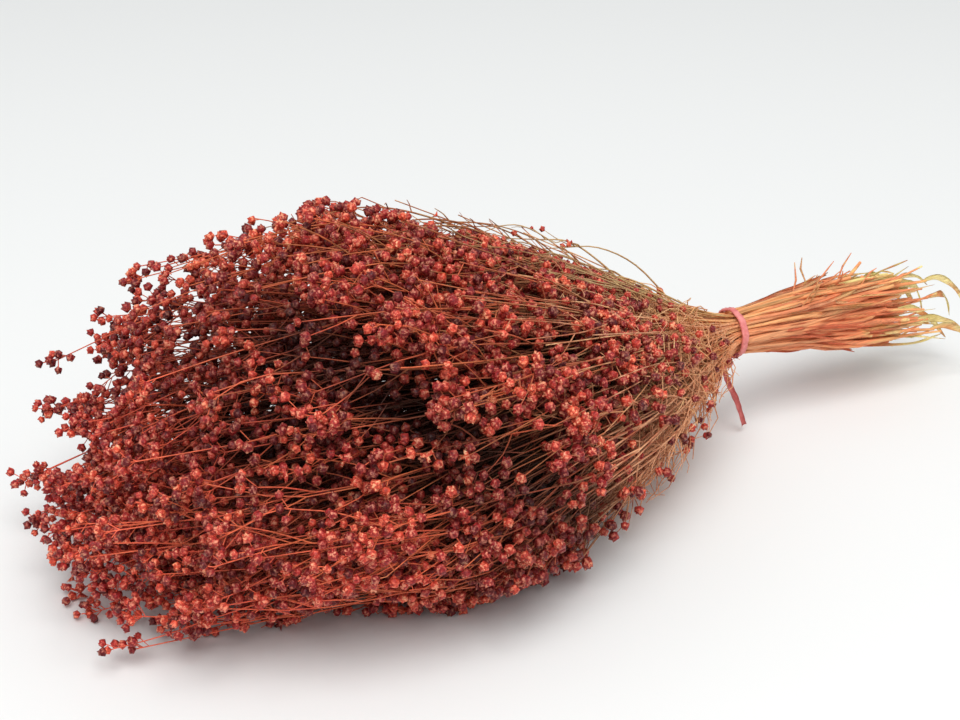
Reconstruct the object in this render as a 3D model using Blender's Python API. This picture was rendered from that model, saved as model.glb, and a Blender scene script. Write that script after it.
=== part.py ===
"""A tied bunch of dried, dyed seed heads, lying on its side.

Thin branching stems run through one tied strip near their cut ends and fan out into a dense
head of small round seed capsules. +X points to the cut ends and +Z up; -Y is the near side.
Distances from the tie are measured along -X. Everything is in metres.
"""

import math

import bmesh
import bpy
import numpy as np
from mathutils import Matrix, Vector

# Driving dimensions
SEED = 2917
SPRAY_COUNT = 42
TIE_HEIGHT = 0.057
HEAD_REACH = 0.376
REACH_LOSS_FAR = 0.026
REACH_LOSS_TOP = 0.022
REACH_GAIN_LOW = 0.014
END_SLOPE = 0.22
END_MARGIN = 0.008
CUT_END_REACH = (0.100, 0.136)

WISP_RISE = 0.006
STEM_RADIUS = 0.00115
STEM_TIP_RADIUS = 0.00065
BRANCH_RADIUS = 0.00065
PEDICEL_RADIUS = 0.00052
CAPSULE_RADIUS = 0.0031
CAPSULE_LENGTH = 0.0060
BLADE_HALF_WIDTH = 0.0028
CLEARANCE = 0.0005
STEM_CLEARANCE = 0.00025

BAND_WIDTH = 0.0042
BAND_INNER = 0.0136
BAND_OUTER = 0.0150
KNOT_RADIUS = 0.0028
TAIL_WIDTH = 0.0040
TAIL_THICKNESS = 0.0011

# Distance from the tie, half-width of the near side, half-width of the far side, and the
# heights of the highest and the lowest stem. Beyond the tie the distance is negative.
SECTIONS = (
    (-0.150, 0.0250, 0.0230, 0.066, 0.024),
    (-0.110, 0.0200, 0.0180, 0.069, 0.030),
    (-0.060, 0.0145, 0.0145, 0.070, 0.038),
    (-0.006, 0.0118, 0.0118, 0.0688, 0.0452),
    (0.006, 0.0118, 0.0118, 0.0688, 0.0452),
    (0.040, 0.037, 0.033, 0.083, 0.029),
    (0.080, 0.067, 0.059, 0.104, 0.015),
    (0.120, 0.090, 0.080, 0.124, 0.007),
    (0.160, 0.108, 0.094, 0.140, 0.004),
    (0.200, 0.119, 0.105, 0.153, 0.004),
    (0.240, 0.124, 0.111, 0.161, 0.004),
    (0.280, 0.116, 0.111, 0.158, 0.004),
    (0.320, 0.102, 0.104, 0.151, 0.004),
    (0.360, 0.086, 0.090, 0.141, 0.005),
    (0.400, 0.070, 0.072, 0.124, 0.008),
)
LOWER_SQUARING = 0.18
HEAD_MIDDLE = 0.066
MIDDLE_REACHED = 0.16
OUTLINE_MARGIN = 0.011
OUTLINE_POWER = 2.6
STEM_STATIONS = (-0.075, -0.006, 0.006, 0.045, 0.095, 0.155, 0.225, 0.295)

# How much shorter than the head some sprays are: most at the head's skin, least at its heart
OUTER_SPRAYS = 0.70
OUTER_SHORTENING = 0.64
SHORTENING_POWER = 1.6
LOW_NEAR_SHARE = 0.6
INNER_SHORTENING = 0.26
SHORTENING_STEP = math.sqrt(2.0)
WISPY_FROM = 0.80
WISPY_REACH = (0.20, 0.30)
WISPY_THICKNESS = 0.62

BRANCHES = 4
BRANCH_LENGTH = (0.040, 0.074)
BRANCH_ANGLE = (20.0, 38.0)
PEDICEL_LENGTH = (0.012, 0.019)
PEDICEL_ANGLE = (36.0, 56.0)
OUTWARD_PULL = 0.55
TABLE_GAP = 0.0006
TRIES = 14
GOLDEN_ANGLE = math.pi * (3.0 - math.sqrt(5.0))

# Each ring of a capsule: its share of the length, its share of the radius, and its turn
CAPSULE_RINGS = ((0.26, 1.0, 0.0), (0.70, 0.92, math.pi / 3.0), (1.0, 0.1, math.pi / 3.0))

CRIMSON = (0.33, 0.022, 0.016, 1.0)
RUSSET = (0.42, 0.085, 0.030, 1.0)
OLIVE = (0.16, 0.085, 0.030, 1.0)
PINK = (0.62, 0.10, 0.09, 1.0)


def clear_scene():
    for old in list(bpy.data.objects):
        bpy.data.objects.remove(old, do_unlink=True)


def material(name, colour, roughness):
    made = bpy.data.materials.new(name)
    made.use_nodes = True
    shader = made.node_tree.nodes["Principled BSDF"]
    shader.inputs["Base Color"].default_value = colour
    shader.inputs["Roughness"].default_value = roughness
    shader.inputs["Metallic"].default_value = 0.0
    made.diffuse_color = colour
    return made


# Where the stems run

def section_at(distance):
    """The near and far half-widths and the top, bottom and middle heights at this distance."""
    table = np.array(SECTIONS)
    near, far, top, bottom = (np.interp(distance, table[:, 0], table[:, k]) for k in range(1, 5))
    middle = (top + bottom) / 2
    if distance > 0:
        middle = np.interp(distance, (0.0, MIDDLE_REACHED), (TIE_HEIGHT, HEAD_MIDDLE))
    return near, far, top, bottom, middle


def before_end(point):
    """Whether a capsule here is short of the head's end, which slants back towards its top."""
    return -point.x < HEAD_REACH + END_MARGIN - END_SLOPE * max(0.0, point.z - TIE_HEIGHT)


def in_outline(point):
    """Whether a capsule here stays within the rounded outline of the whole head."""
    near, far, top, bottom, middle = section_at(-point.x)
    half = (near if point.y < 0 else far) + OUTLINE_MARGIN
    rise = (top - middle if point.z > middle else middle - bottom) + OUTLINE_MARGIN
    across, above = abs(point.y) / half, abs(point.z - middle) / rise
    return across ** OUTLINE_POWER + above ** OUTLINE_POWER < 1.0


def place_in_bunch(distance, u, v):
    """The point of the stem (u, v) of the unit disc at this distance from the tie."""
    near, far, top, bottom, middle = section_at(distance)
    if v < 0:
        opened = np.interp(distance, (0.0, 0.12), (0.0, LOWER_SQUARING))
        v = max(-1.0, v * (1.0 + opened * u * u))
        height = middle + v * (middle - bottom)
    else:
        height = middle + v * (top - middle)
    return Vector((-distance, u * (near if u < 0 else far), height))


def spray_plan(index):
    """What one spray is like: its place in the tied disc and how far it reaches each way."""
    draw = np.random.RandomState(SEED + index)
    radius = math.sqrt((index + 0.5) / SPRAY_COUNT)
    angle = index * GOLDEN_ANGLE
    u, v = radius * math.cos(angle), radius * math.sin(angle)
    shortened = (index * SHORTENING_STEP) % 1.0
    if radius > OUTER_SPRAYS:
        low_near = LOW_NEAR_SHARE if u < 0 and v < 0.25 else 1.0
        shortened = OUTER_SHORTENING * shortened ** SHORTENING_POWER * low_near
    else:
        shortened *= INNER_SHORTENING * radius / OUTER_SPRAYS
    slanted = -REACH_LOSS_TOP * v if v > 0 else -REACH_GAIN_LOW * v
    reach = (HEAD_REACH - REACH_LOSS_FAR * max(0.0, u) + slanted) * (1.0 - shortened)
    wispy = v > WISPY_FROM and WISPY_REACH[0] < reach < WISPY_REACH[1]
    leafy = index % 6 == 3
    return {
        "draw": draw, "u": u, "v": v, "reach": reach, "wispy": wispy,
        "cut": CUT_END_REACH[1] if leafy else draw.uniform(*CUT_END_REACH) - 0.004, "leafy": leafy,
    }


def stem_path(plan):
    """The points of a spray's main stem, from its cut end through the tie to its tip."""
    draw = plan["draw"]
    stations = [-plan["cut"]]
    stations += [s for s in STEM_STATIONS if s < plan["reach"] - 0.03]
    stations.append(plan["reach"])
    points = []
    for distance in stations:
        point = place_in_bunch(distance, plan["u"], plan["v"])
        looseness = (0.022 if distance > 0 else 0.010) * max(0.0, abs(distance) - 0.02)
        wander = Vector(draw.uniform(-1.0, 1.0, 3)) * min(0.004, looseness)
        point += wander * Vector((0.3, 1.0, 1.0))
        if plan["wispy"] and distance > 0:
            point.z += WISP_RISE * math.sin(min(1.0, distance / 0.26) * math.pi * 0.6)
        point.z = max(point.z, STEM_RADIUS + TABLE_GAP)
        points.append(point)
    return points


def clear_stem_path(plan, taken, owner):
    """The first drawn main stem that keeps clear of those before it."""
    for _ in range(TRIES * 2):
        path = stem_path(plan)
        gaps = (
            taken.least_gap(path, STEM_RADIUS, owner),
            taken.least_gap(capsule_span(path), CAPSULE_RADIUS, owner),
        )
        if min(gaps) > STEM_CLEARANCE:
            return path
    raise ValueError("no clear way for the main stem of " + owner)


def point_on(points, share):
    """The point and the direction at this share of a path's length."""
    runs = [(b - a).length for a, b in zip(points, points[1:])]
    left = share * sum(runs)
    for start, end, run in zip(points, points[1:], runs):
        if left <= run:
            return start.lerp(end, left / run), (end - start).normalized()
        left -= run
    return points[-1].copy(), (points[-1] - points[-2]).normalized()


class Taken:
    """The space that is already filled, as capsule-shaped segments with an owner each."""

    def __init__(self):
        self.starts, self.ends, self.radii, self.owners = [], [], [], []

    def add(self, points, radius, owner):
        for start, end in zip(points, points[1:]):
            self.starts.append(tuple(start))
            self.ends.append(tuple(end))
            self.radii.append(radius)
            self.owners.append(owner)

    def least_gap(self, points, radius, owner):
        """The least gap between this path and everything that belongs to someone else."""
        owners = np.array(self.owners)
        others = owners != owner
        if not others.any():
            return math.inf
        starts, ends = np.array(self.starts)[others], np.array(self.ends)[others]
        radii = np.array(self.radii)[others]
        least = math.inf
        for start, end in zip(points, points[1:]):
            near = segment_distances(np.array(start), np.array(end), starts, ends)
            least = min(least, float((near - radii).min()) - radius)
        return least


def segment_distances(start, end, starts, ends):
    """The distances from one segment to each of many."""
    along, others, offset = end - start, ends - starts, start - starts
    a, e = along @ along, (others * others).sum(1)
    b, c, f = others @ along, offset @ along, (others * offset).sum(1)
    spread = np.maximum(a * e - b * b, 1e-18)
    s = np.clip((b * f - c * e) / spread, 0.0, 1.0)
    t = np.clip((b * s + f) / e, 0.0, 1.0)
    s = np.clip((b * t - c) / a, 0.0, 1.0)
    between = (start + s[:, None] * along) - (starts + t[:, None] * others)
    return np.linalg.norm(between, axis=1)


def square_to(direction):
    """A unit vector at right angles to a direction, level where it can be."""
    helper = Vector((0.0, 0.0, 1.0)) if abs(direction.z) < 0.9 else Vector((0.0, 1.0, 0.0))
    return direction.cross(helper).normalized()


def aside(direction, turn, outward):
    """A unit vector square to a direction, turned about it and drawn a little outward."""
    first = square_to(direction)
    second = direction.cross(first)
    chosen = first * math.cos(turn) + second * math.sin(turn) + outward * OUTWARD_PULL
    chosen -= direction * chosen.dot(direction)
    return chosen.normalized()


def twig_path(root, direction, side, angle, length):
    """A twig that leaves at an angle and bends back a little towards the stem's direction."""
    leaving = (direction * math.cos(angle) + side * math.sin(angle)).normalized()
    ending = (leaving + direction * 0.35).normalized()
    middle = root + leaving * length * 0.5
    end = middle + ending * length * 0.5
    middle.z = max(middle.z, BRANCH_RADIUS + TABLE_GAP)
    end.z = max(end.z, CAPSULE_RADIUS * 0.80)
    return [root, middle, end]


def capsule_axis(path):
    return (path[-1] - path[-2]).normalized()


def capsule_span(path):
    """The segment that a capsule at the end of this path fills."""
    axis = capsule_axis(path)
    return [path[-1] - axis * 0.0005, path[-1] + axis * CAPSULE_LENGTH * 0.9]


def try_twig(taken, owner, make, free):
    """The first of several drawn twigs that is clear of every other spray, or None."""
    for _ in range(TRIES):
        path = make()
        if not (before_end(path[-1]) and (free or in_outline(path[-1]))):
            continue
        if taken.least_gap(path, BRANCH_RADIUS, owner) < CLEARANCE:
            continue
        if taken.least_gap(capsule_span(path), CAPSULE_RADIUS, owner) < CLEARANCE:
            continue
        return path
    return None


# Solid shapes

def ring_places(points, radii, turns, flatness=1.0):
    """A matrix for each station: its ring's centre, direction, size and turn."""
    side = None
    places = []
    for k, (point, radius) in enumerate(zip(points, radii)):
        before, after = points[max(0, k - 1)], points[min(len(points) - 1, k + 1)]
        direction = (after - before).normalized()
        side = side or square_to(direction)
        side = (side - direction * side.dot(direction)).normalized()
        up = direction.cross(side)
        turned = side * math.cos(turns[k]) + up * math.sin(turns[k])
        across = direction.cross(turned)
        place = Matrix((turned * radius, across * radius * flatness, direction * radius)).transposed()
        places.append(Matrix.Translation(point) @ place.to_4x4())
    return places


def sweep(name, points, radii, sides, turns=None, pointed=False, flatness=1.0):
    """A closed tube that is extruded from station to station, ending flat or in a point."""
    turns = turns or [0.0] * len(points)
    places = ring_places(points, radii, turns, flatness)
    bm = bmesh.new()
    made = bmesh.ops.create_circle(bm, cap_ends=True, segments=sides, radius=1.0, matrix=places[0])
    face = made["verts"][0].link_faces[0]
    last = len(points) - 1
    for k in range(1, len(points)):
        grown = bmesh.ops.extrude_face_region(bm, geom=[face])["geom"]
        ring = [item for item in grown if isinstance(item, bmesh.types.BMVert)]
        if k > 1:
            bmesh.ops.delete(bm, geom=[face], context="FACES_ONLY")
        face = next(item for item in grown if isinstance(item, bmesh.types.BMFace))
        bmesh.ops.transform(bm, matrix=places[k] @ places[k - 1].inverted(), verts=ring)
        if pointed and k == last:
            bmesh.ops.pointmerge(bm, verts=ring, merge_co=points[-1])
    bmesh.ops.triangulate(bm, faces=bm.faces[:], quad_method="SHORT_EDGE")
    bmesh.ops.recalc_face_normals(bm, faces=bm.faces[:])
    mesh = bpy.data.meshes.new(name)
    bm.to_mesh(mesh)
    bm.free()
    made = bpy.data.objects.new(name, mesh)
    bpy.context.scene.collection.objects.link(made)
    return made


def sweep_with_capsule(name, path, radii):
    """A three-sided stem or twig and the round capsule at its end, as one closed shape."""
    axis = capsule_axis(path)
    points = path + [path[-1] + axis * CAPSULE_LENGTH * share for share, _, _ in CAPSULE_RINGS]
    radii = radii + [CAPSULE_RADIUS * share for _, share, _ in CAPSULE_RINGS]
    turns = [0.0] * len(path) + [turn for _, _, turn in CAPSULE_RINGS]
    return sweep(name, points, radii, 3, turns, pointed=True)


def main_stem(name, plan, path):
    """The spray's main stem, thinning to its tip, with the capsule that ends it."""
    thick = STEM_RADIUS * (WISPY_THICKNESS if plan["wispy"] else 1.0)
    thinning = [max(0.0, -point.x) / plan["reach"] for point in path]
    radii = [thick + (STEM_TIP_RADIUS - thick) * share for share in thinning]
    return sweep_with_capsule(name, path, radii)


def fuse(stem, pieces):
    """Joins the pieces to the stem by one Boolean union and removes them."""
    group = bpy.data.collections.new(stem.name + "_pieces")
    bpy.context.scene.collection.children.link(group)
    for piece in pieces:
        bpy.context.scene.collection.objects.unlink(piece)
        group.objects.link(piece)
    union = stem.modifiers.new("join", "BOOLEAN")
    union.operation = "UNION"
    union.operand_type = "COLLECTION"
    union.collection = group
    apply_modifiers(stem)
    for piece in pieces:
        bpy.data.objects.remove(piece, do_unlink=True)
    bpy.data.collections.remove(group)


def apply_modifiers(made):
    graph = bpy.context.evaluated_depsgraph_get()
    mesh = bpy.data.meshes.new_from_object(made.evaluated_get(graph))
    made.modifiers.clear()
    made.data = mesh


def rest_on_table(made):
    """Presses flat whatever reaches below the table plane."""
    bm = bmesh.new()
    bm.from_mesh(made.data)
    if min(vertex.co.z for vertex in bm.verts) < 0.0:
        everything = bm.verts[:] + bm.edges[:] + bm.faces[:]
        cut = bmesh.ops.bisect_plane(
            bm, geom=everything, dist=1e-7, plane_co=(0, 0, 0), plane_no=(0, 0, -1), clear_outer=True,
        )
        edges = [item for item in cut["geom_cut"] if isinstance(item, bmesh.types.BMEdge)]
        bmesh.ops.holes_fill(bm, edges=edges, sides=0)
        bmesh.ops.triangulate(bm, faces=bm.faces[:])
        bmesh.ops.recalc_face_normals(bm, faces=bm.faces[:])
    bm.to_mesh(made.data)
    bm.free()


# The sprays

def spray_twigs(name, plan, path, taken):
    """The branches along the outer part of a spray, each with a second capsule beside its own."""
    draw = plan["draw"]
    count = BRANCHES - 1 if plan["wispy"] else BRANCHES
    first = 0.40 if plan["reach"] > 0.20 else 0.28
    tied = plan["cut"] / sum((b - a).length for a, b in zip(path, path[1:]))
    turn = draw.uniform(0.0, 2.0 * math.pi)
    twigs = []
    for k in range(count):
        share = first + (0.93 - first) * (k + draw.uniform(0.0, 0.5)) / (count - 0.5)
        root, direction = point_on(path, tied + (1.0 - tied) * share)
        outward = (root - Vector((root.x, 0.0, HEAD_MIDDLE - 0.004))).normalized()
        turn += GOLDEN_ANGLE

        def branch():
            side = aside(direction, turn + draw.uniform(-0.7, 0.7), outward)
            angle = math.radians(draw.uniform(*BRANCH_ANGLE))
            length = draw.uniform(*BRANCH_LENGTH) * (1.0 - 0.35 * share)
            return twig_path(root, direction, side, angle, length)

        path_out = try_twig(taken, name, branch, plan["wispy"])
        if path_out is None:
            continue
        taken.add(path_out, BRANCH_RADIUS, name)
        taken.add(capsule_span(path_out), CAPSULE_RADIUS, name + " capsules")
        twigs.append((path_out, BRANCH_RADIUS))
        joint, heading = point_on(path_out, draw.uniform(0.50, 0.78))

        def pedicel():
            side = aside(heading, draw.uniform(0.0, 2.0 * math.pi), outward)
            length = draw.uniform(*PEDICEL_LENGTH)
            angle = math.radians(draw.uniform(*PEDICEL_ANGLE))
            return twig_path(joint, heading, side, angle, length)[::2]

        path_out = try_twig(taken, name, pedicel, plan["wispy"])
        if path_out is None:
            continue
        taken.add(path_out, PEDICEL_RADIUS, name)
        taken.add(capsule_span(path_out), CAPSULE_RADIUS, name + " capsules")
        twigs.append((path_out, PEDICEL_RADIUS))
    return twigs


def straw_blade_path(plan, path, taken, owner):
    """A torn strip of dry leaf that goes on from a stem's cut end and curls to the table."""
    draw = plan["draw"]
    tip = path[0]
    along = (path[0] - path[1]).normalized()
    for _ in range(TRIES):
        drop = tip.z * draw.uniform(0.1, 0.9)
        sideways = draw.uniform(-0.014, 0.014)
        beyond = [
            tip - along * 0.004, tip + Vector((0.008, 0.0, 0.0)),
            tip + Vector((0.020, sideways * 0.5, -drop * 0.30)),
            tip + Vector((0.031, sideways, -drop)),
        ]
        if taken.least_gap(beyond, BLADE_HALF_WIDTH, owner) > CLEARANCE:
            return beyond
    return None


def straw_blade(name, points):
    half = BLADE_HALF_WIDTH
    return sweep(name, points, [half * 0.4, half, half * 0.9, half * 0.3], 4, None, False, 0.30)


def build_sprays(body):
    """Every spray as one solid, its main stem first, so that later twigs keep clear of it."""
    crimson = material("crimson seed spray", CRIMSON, 0.62)
    russet = material("russet seed spray", RUSSET, 0.66)
    olive = material("olive seed spray", OLIVE, 0.68)
    taken = Taken()
    taken.add(tail_route(), TAIL_WIDTH / 2, "tie")
    taken.add(knot_span(), KNOT_RADIUS, "tie")
    plans = [spray_plan(index) for index in range(SPRAY_COUNT)]
    names = ["spray_%02d" % (index + 1) for index in range(SPRAY_COUNT)]
    paths = []
    for name, plan in zip(names, plans):
        path = clear_stem_path(plan, taken, name)
        taken.add(path, STEM_RADIUS, name)
        taken.add(capsule_span(path), CAPSULE_RADIUS, name + " capsules")
        paths.append(path)
    for index, (name, plan, path) in enumerate(zip(names, plans, paths)):
        stem = main_stem(name, plan, path)
        twigs = spray_twigs(name, plan, path, taken)
        pieces = [
            sweep_with_capsule("%s_twig_%d" % (name, k), twig, [radius] * len(twig))
            for k, (twig, radius) in enumerate(twigs)
        ]
        if plan["leafy"]:
            points = straw_blade_path(plan, path, taken, name)
            if points:
                taken.add(points, BLADE_HALF_WIDTH, name)
                pieces.append(straw_blade(name + "_blade", points))
        fuse(stem, pieces)
        rest_on_table(stem)
        chosen = olive if plan["wispy"] else (russet if index % 5 == 2 else crimson)
        stem.data.materials.clear()
        stem.data.materials.append(chosen)
        stem.parent = body


# The tie

def tail_route():
    """The loose end of the tie, from the knot down to just above the table."""
    return [
        Vector((-0.0062, -0.0042, 0.0372)), Vector((-0.0050, -0.0064, 0.0320)),
        Vector((-0.0025, -0.0085, 0.0240)), Vector((0.0005, -0.0100, 0.0140)),
        Vector((0.0045, -0.0110, 0.0045)),
    ]


def knot_span():
    return [Vector((-0.0030, -0.0010, 0.0405)), Vector((0.0020, 0.0020, 0.0405))]


def build_tie(body):
    """A flat ring round the stems with a small knot under it, and its loose end."""
    pink = material("pink tie strip", PINK, 0.58)
    bm = bmesh.new()
    profile = [(BAND_INNER, -BAND_WIDTH / 2), (BAND_OUTER, -BAND_WIDTH / 2 + 0.0004),
               (BAND_OUTER, BAND_WIDTH / 2 - 0.0004), (BAND_INNER, BAND_WIDTH / 2)]
    corners = [bm.verts.new((along, 0.0, TIE_HEIGHT + radius)) for radius, along in profile]
    edges = [bm.edges.new((corners[k], corners[(k + 1) % 4])) for k in range(4)]
    bmesh.ops.spin(
        bm, geom=corners + edges, cent=(0, 0, TIE_HEIGHT), axis=(1, 0, 0), angle=2 * math.pi,
        steps=28, use_merge=True,
    )
    bmesh.ops.remove_doubles(bm, verts=bm.verts[:], dist=1e-6)
    bmesh.ops.recalc_face_normals(bm, faces=bm.faces[:])
    mesh = bpy.data.meshes.new("tie_band")
    bm.to_mesh(mesh)
    bm.free()
    band = bpy.data.objects.new("tie_band", mesh)
    bpy.context.scene.collection.objects.link(band)
    start, end = knot_span()
    knot = sweep(
        "knot", [start + (start - end) * 0.2, start, start.lerp(end, 0.5), end, end + (end - start) * 0.2],
        [KNOT_RADIUS * share for share in (0.45, 0.85, 1.0, 0.9, 0.45)], 8, None, False, 0.80,
    )
    fuse(band, [knot])
    tail = sweep(
        "tie_tail", tail_route(), [TAIL_WIDTH * 0.5] * 5, 4, [math.pi / 4] * 5, False,
        TAIL_THICKNESS / TAIL_WIDTH,
    )
    for made in (band, tail):
        made.data.materials.clear()
        made.data.materials.append(pink)
        made.parent = body


def stand_on_origin(body, left_out):
    """Moves the bunch so that the origin lies under the middle of it, on the table."""
    corners = [
        vertex.co for made in body.children if made.name not in left_out for vertex in made.data.vertices
    ]
    low = [min(corner[k] for corner in corners) for k in range(3)]
    high = [max(corner[k] for corner in corners) for k in range(3)]
    body.location = (-(low[0] + high[0]) / 2, -(low[1] + high[1]) / 2, -low[2])
    print("tie at", [round(value, 6) for value in body.location])
    print("size", [round(h - l, 4) for l, h in zip(low, high)])


def main():
    clear_scene()
    body = bpy.data.objects.new("bunch", None)
    bpy.context.scene.collection.objects.link(body)
    build_tie(body)
    build_sprays(body)
    stand_on_origin(body, ("tie_tail",))


main()
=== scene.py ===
# A tied bunch of dried, dyed seed sprays lying on its side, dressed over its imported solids.
import math

import bmesh
import bpy
import numpy as np
from mathutils import Matrix, Vector


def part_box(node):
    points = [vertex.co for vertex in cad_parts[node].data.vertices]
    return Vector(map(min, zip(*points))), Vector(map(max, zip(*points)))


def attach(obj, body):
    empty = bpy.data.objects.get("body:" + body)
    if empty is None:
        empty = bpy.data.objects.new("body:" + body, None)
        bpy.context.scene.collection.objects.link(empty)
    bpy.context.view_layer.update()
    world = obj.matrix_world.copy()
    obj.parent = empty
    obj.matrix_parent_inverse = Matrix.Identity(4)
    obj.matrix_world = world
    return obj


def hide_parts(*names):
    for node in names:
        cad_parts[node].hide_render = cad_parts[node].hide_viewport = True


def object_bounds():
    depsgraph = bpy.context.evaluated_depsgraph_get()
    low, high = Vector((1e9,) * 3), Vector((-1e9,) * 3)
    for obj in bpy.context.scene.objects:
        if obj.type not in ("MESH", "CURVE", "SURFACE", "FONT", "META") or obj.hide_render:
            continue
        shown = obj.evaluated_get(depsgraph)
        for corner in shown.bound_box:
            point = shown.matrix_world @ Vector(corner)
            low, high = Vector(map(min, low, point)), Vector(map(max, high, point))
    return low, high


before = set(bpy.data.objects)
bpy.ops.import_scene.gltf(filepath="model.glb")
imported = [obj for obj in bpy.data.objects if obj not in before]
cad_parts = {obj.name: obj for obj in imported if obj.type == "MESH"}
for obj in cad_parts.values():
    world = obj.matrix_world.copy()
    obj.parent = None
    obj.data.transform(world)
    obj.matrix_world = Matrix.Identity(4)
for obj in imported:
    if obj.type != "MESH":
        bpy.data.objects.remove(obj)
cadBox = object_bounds()

# What a user would change about the whole bunch; the numbers shared with the solids keep their values
bunch = {
    "seed": 2917,
    "sprays": 42,
    "tieHeight": 0.057,
    "headReach": 0.376,
    "reachLossFar": 0.026,
    "reachLossTop": 0.022,
    "reachGainLow": 0.014,
    "endSlope": 0.22,
    "endMargin": 0.008,
    "cutEndReach": (0.100, 0.136),
    "wispRise": 0.006,
    "lowerSquaring": 0.18,
    "headMiddle": 0.066,
    "middleReached": 0.16,
    "outlineMargin": 0.011,
    "outlinePower": 2.6,
    "outerSprays": 0.70,
    "outerShortening": 0.64,
    "shorteningPower": 1.6,
    "lowNearShare": 0.6,
    "innerShortening": 0.26,
    "shorteningStep": math.sqrt(2.0),
    "wispyFrom": 0.80,
    "wispyReach": (0.20, 0.30),
    "stations": (-0.075, -0.006, 0.006, 0.045, 0.095, 0.155, 0.225, 0.295),
    "tableGap": 0.0006,
    "tries": 14,
}

# Distance from the tie, near and far half-widths, heights of the highest and the lowest stem
sections = np.array((
    (-0.150, 0.0250, 0.0230, 0.066, 0.024),
    (-0.110, 0.0200, 0.0180, 0.069, 0.030),
    (-0.060, 0.0145, 0.0145, 0.070, 0.038),
    (-0.006, 0.0118, 0.0118, 0.0688, 0.0452),
    (0.006, 0.0118, 0.0118, 0.0688, 0.0452),
    (0.040, 0.037, 0.033, 0.083, 0.029),
    (0.080, 0.067, 0.059, 0.104, 0.015),
    (0.120, 0.090, 0.080, 0.124, 0.007),
    (0.160, 0.108, 0.094, 0.140, 0.004),
    (0.200, 0.119, 0.105, 0.153, 0.004),
    (0.240, 0.124, 0.111, 0.161, 0.004),
    (0.280, 0.116, 0.111, 0.158, 0.004),
    (0.320, 0.102, 0.104, 0.151, 0.004),
    (0.360, 0.086, 0.090, 0.141, 0.005),
    (0.400, 0.070, 0.072, 0.124, 0.008),
))

# The solids' own stems and twigs, which the fine ones follow
coarse = {
    "stemRadius": 0.00115,
    "branchRadius": 0.00065,
    "pedicelRadius": 0.00052,
    "capsuleRadius": 0.0031,
    "capsuleLength": 0.0060,
    "bladeHalfWidth": 0.0028,
    "clearance": 0.0005,
    "stemClearance": 0.00025,
    "branches": 4,
    "branchLength": (0.040, 0.074),
    "branchAngle": (20.0, 38.0),
    "pedicelLength": (0.012, 0.019),
    "pedicelAngle": (36.0, 56.0),
    "outwardPull": 0.55,
}

# The hollow that slants across the near side, with fewer capsules in it and painted shade on it, the
# lower near side below it, also given painted shade, and how deep into the head its end counts as its
# skin
hollow = {
    "from": 0.177,
    "height": 0.058,
    "slant": 0.80,
    # the next two are how much painted shade darkens the hollow and the lower near side
    "depth": 0.34,
    "lowPaintedShade": 0.28,
    "nearSide": ((-0.02, 0.0), (1.0, 0.0)),
    "edge": ((0.006, 0.026), (1.0, 0.0)),
    "along": ((0.10, 0.14, 0.28, 0.32), (0.0, 1.0, 1.0, 0.0)),
    "lowEdge": ((-0.020, 0.0), (1.0, 0.0)),
    "lowAlong": ((0.09, 0.13, 0.22, 0.26), (0.0, 1.0, 1.0, 0.0)),
    "endShell": 1.05,
    "endDepth": 0.13,
}

goldenAngle = math.pi * (3.0 - math.sqrt(5.0))


def tiePlace():
    # the middle of the tie on the table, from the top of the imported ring
    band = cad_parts["tie_band"].data.vertices
    low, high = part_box("tie_band")
    top = [vertex.co.x for vertex in band if vertex.co.z > high.z - 0.0012]
    return Vector(((min(top) + max(top)) / 2, (low.y + high.y) / 2, 0.0))


tieAt = tiePlace()
print("tie at", [round(value, 5) for value in tieAt])


# How the stems run: the same rule and the same draws as the solids

def sectionAt(distance):
    # half-widths near and far, heights of the top and the bottom, and the middle's height
    near, far, top, bottom = (np.interp(distance, sections[:, 0], sections[:, k]) for k in range(1, 5))
    middle = (top + bottom) / 2
    inHead = np.interp(distance, (0.0, bunch["middleReached"]), (bunch["tieHeight"], bunch["headMiddle"]))
    middle = np.where(distance > 0, inHead, middle)
    return near, far, top, bottom, middle


def beforeEnd(point, spare=0.0):
    rise = max(0.0, point.z - bunch["tieHeight"])
    return -point.x < bunch["headReach"] + bunch["endMargin"] + spare - bunch["endSlope"] * rise


def inOutline(point, spare=0.0):
    near, far, top, bottom, middle = sectionAt(-point.x)
    half = (near if point.y < 0 else far) + bunch["outlineMargin"] + spare
    rise = (top - middle if point.z > middle else middle - bottom) + bunch["outlineMargin"] + spare
    across, above = abs(point.y) / half, abs(point.z - middle) / rise
    return across ** bunch["outlinePower"] + above ** bunch["outlinePower"] < 1.0


def shellAt(points):
    # 0 along the middle of the head, 1 on its outline and at its end
    near, far, top, bottom, middle = sectionAt(-points[:, 0])
    half = np.where(points[:, 1] < 0, near, far) + bunch["outlineMargin"]
    rise = np.where(points[:, 2] > middle, top - middle, middle - bottom) + bunch["outlineMargin"]
    shell = np.hypot(points[:, 1] / half, (points[:, 2] - middle) / rise)
    above = np.maximum(0.0, points[:, 2] - bunch["tieHeight"])
    beforeTip = bunch["headReach"] - bunch["endSlope"] * above + points[:, 0]
    return np.maximum(shell, hollow["endShell"] - np.maximum(beforeTip, 0.0) / hollow["endDepth"])


def fromHollow(points):
    # height above or below the middle of the hollow
    return points[:, 2] - (hollow["height"] + hollow["slant"] * (-points[:, 0] - hollow["from"]))


def shadeAt(points):
    # the shell, lowered in the hollow and on the lower near side: painted shade where the head keeps
    # these dark
    distance, height = -points[:, 0], fromHollow(points)
    near = np.interp(points[:, 1], *hollow["nearSide"])
    inHollow = np.interp(np.abs(height), *hollow["edge"]) * near * np.interp(distance, *hollow["along"])
    low = np.interp(height, *hollow["lowEdge"]) * near * np.interp(distance, *hollow["lowAlong"])
    return shellAt(points) - hollow["depth"] * inHollow - hollow["lowPaintedShade"] * low


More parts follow.
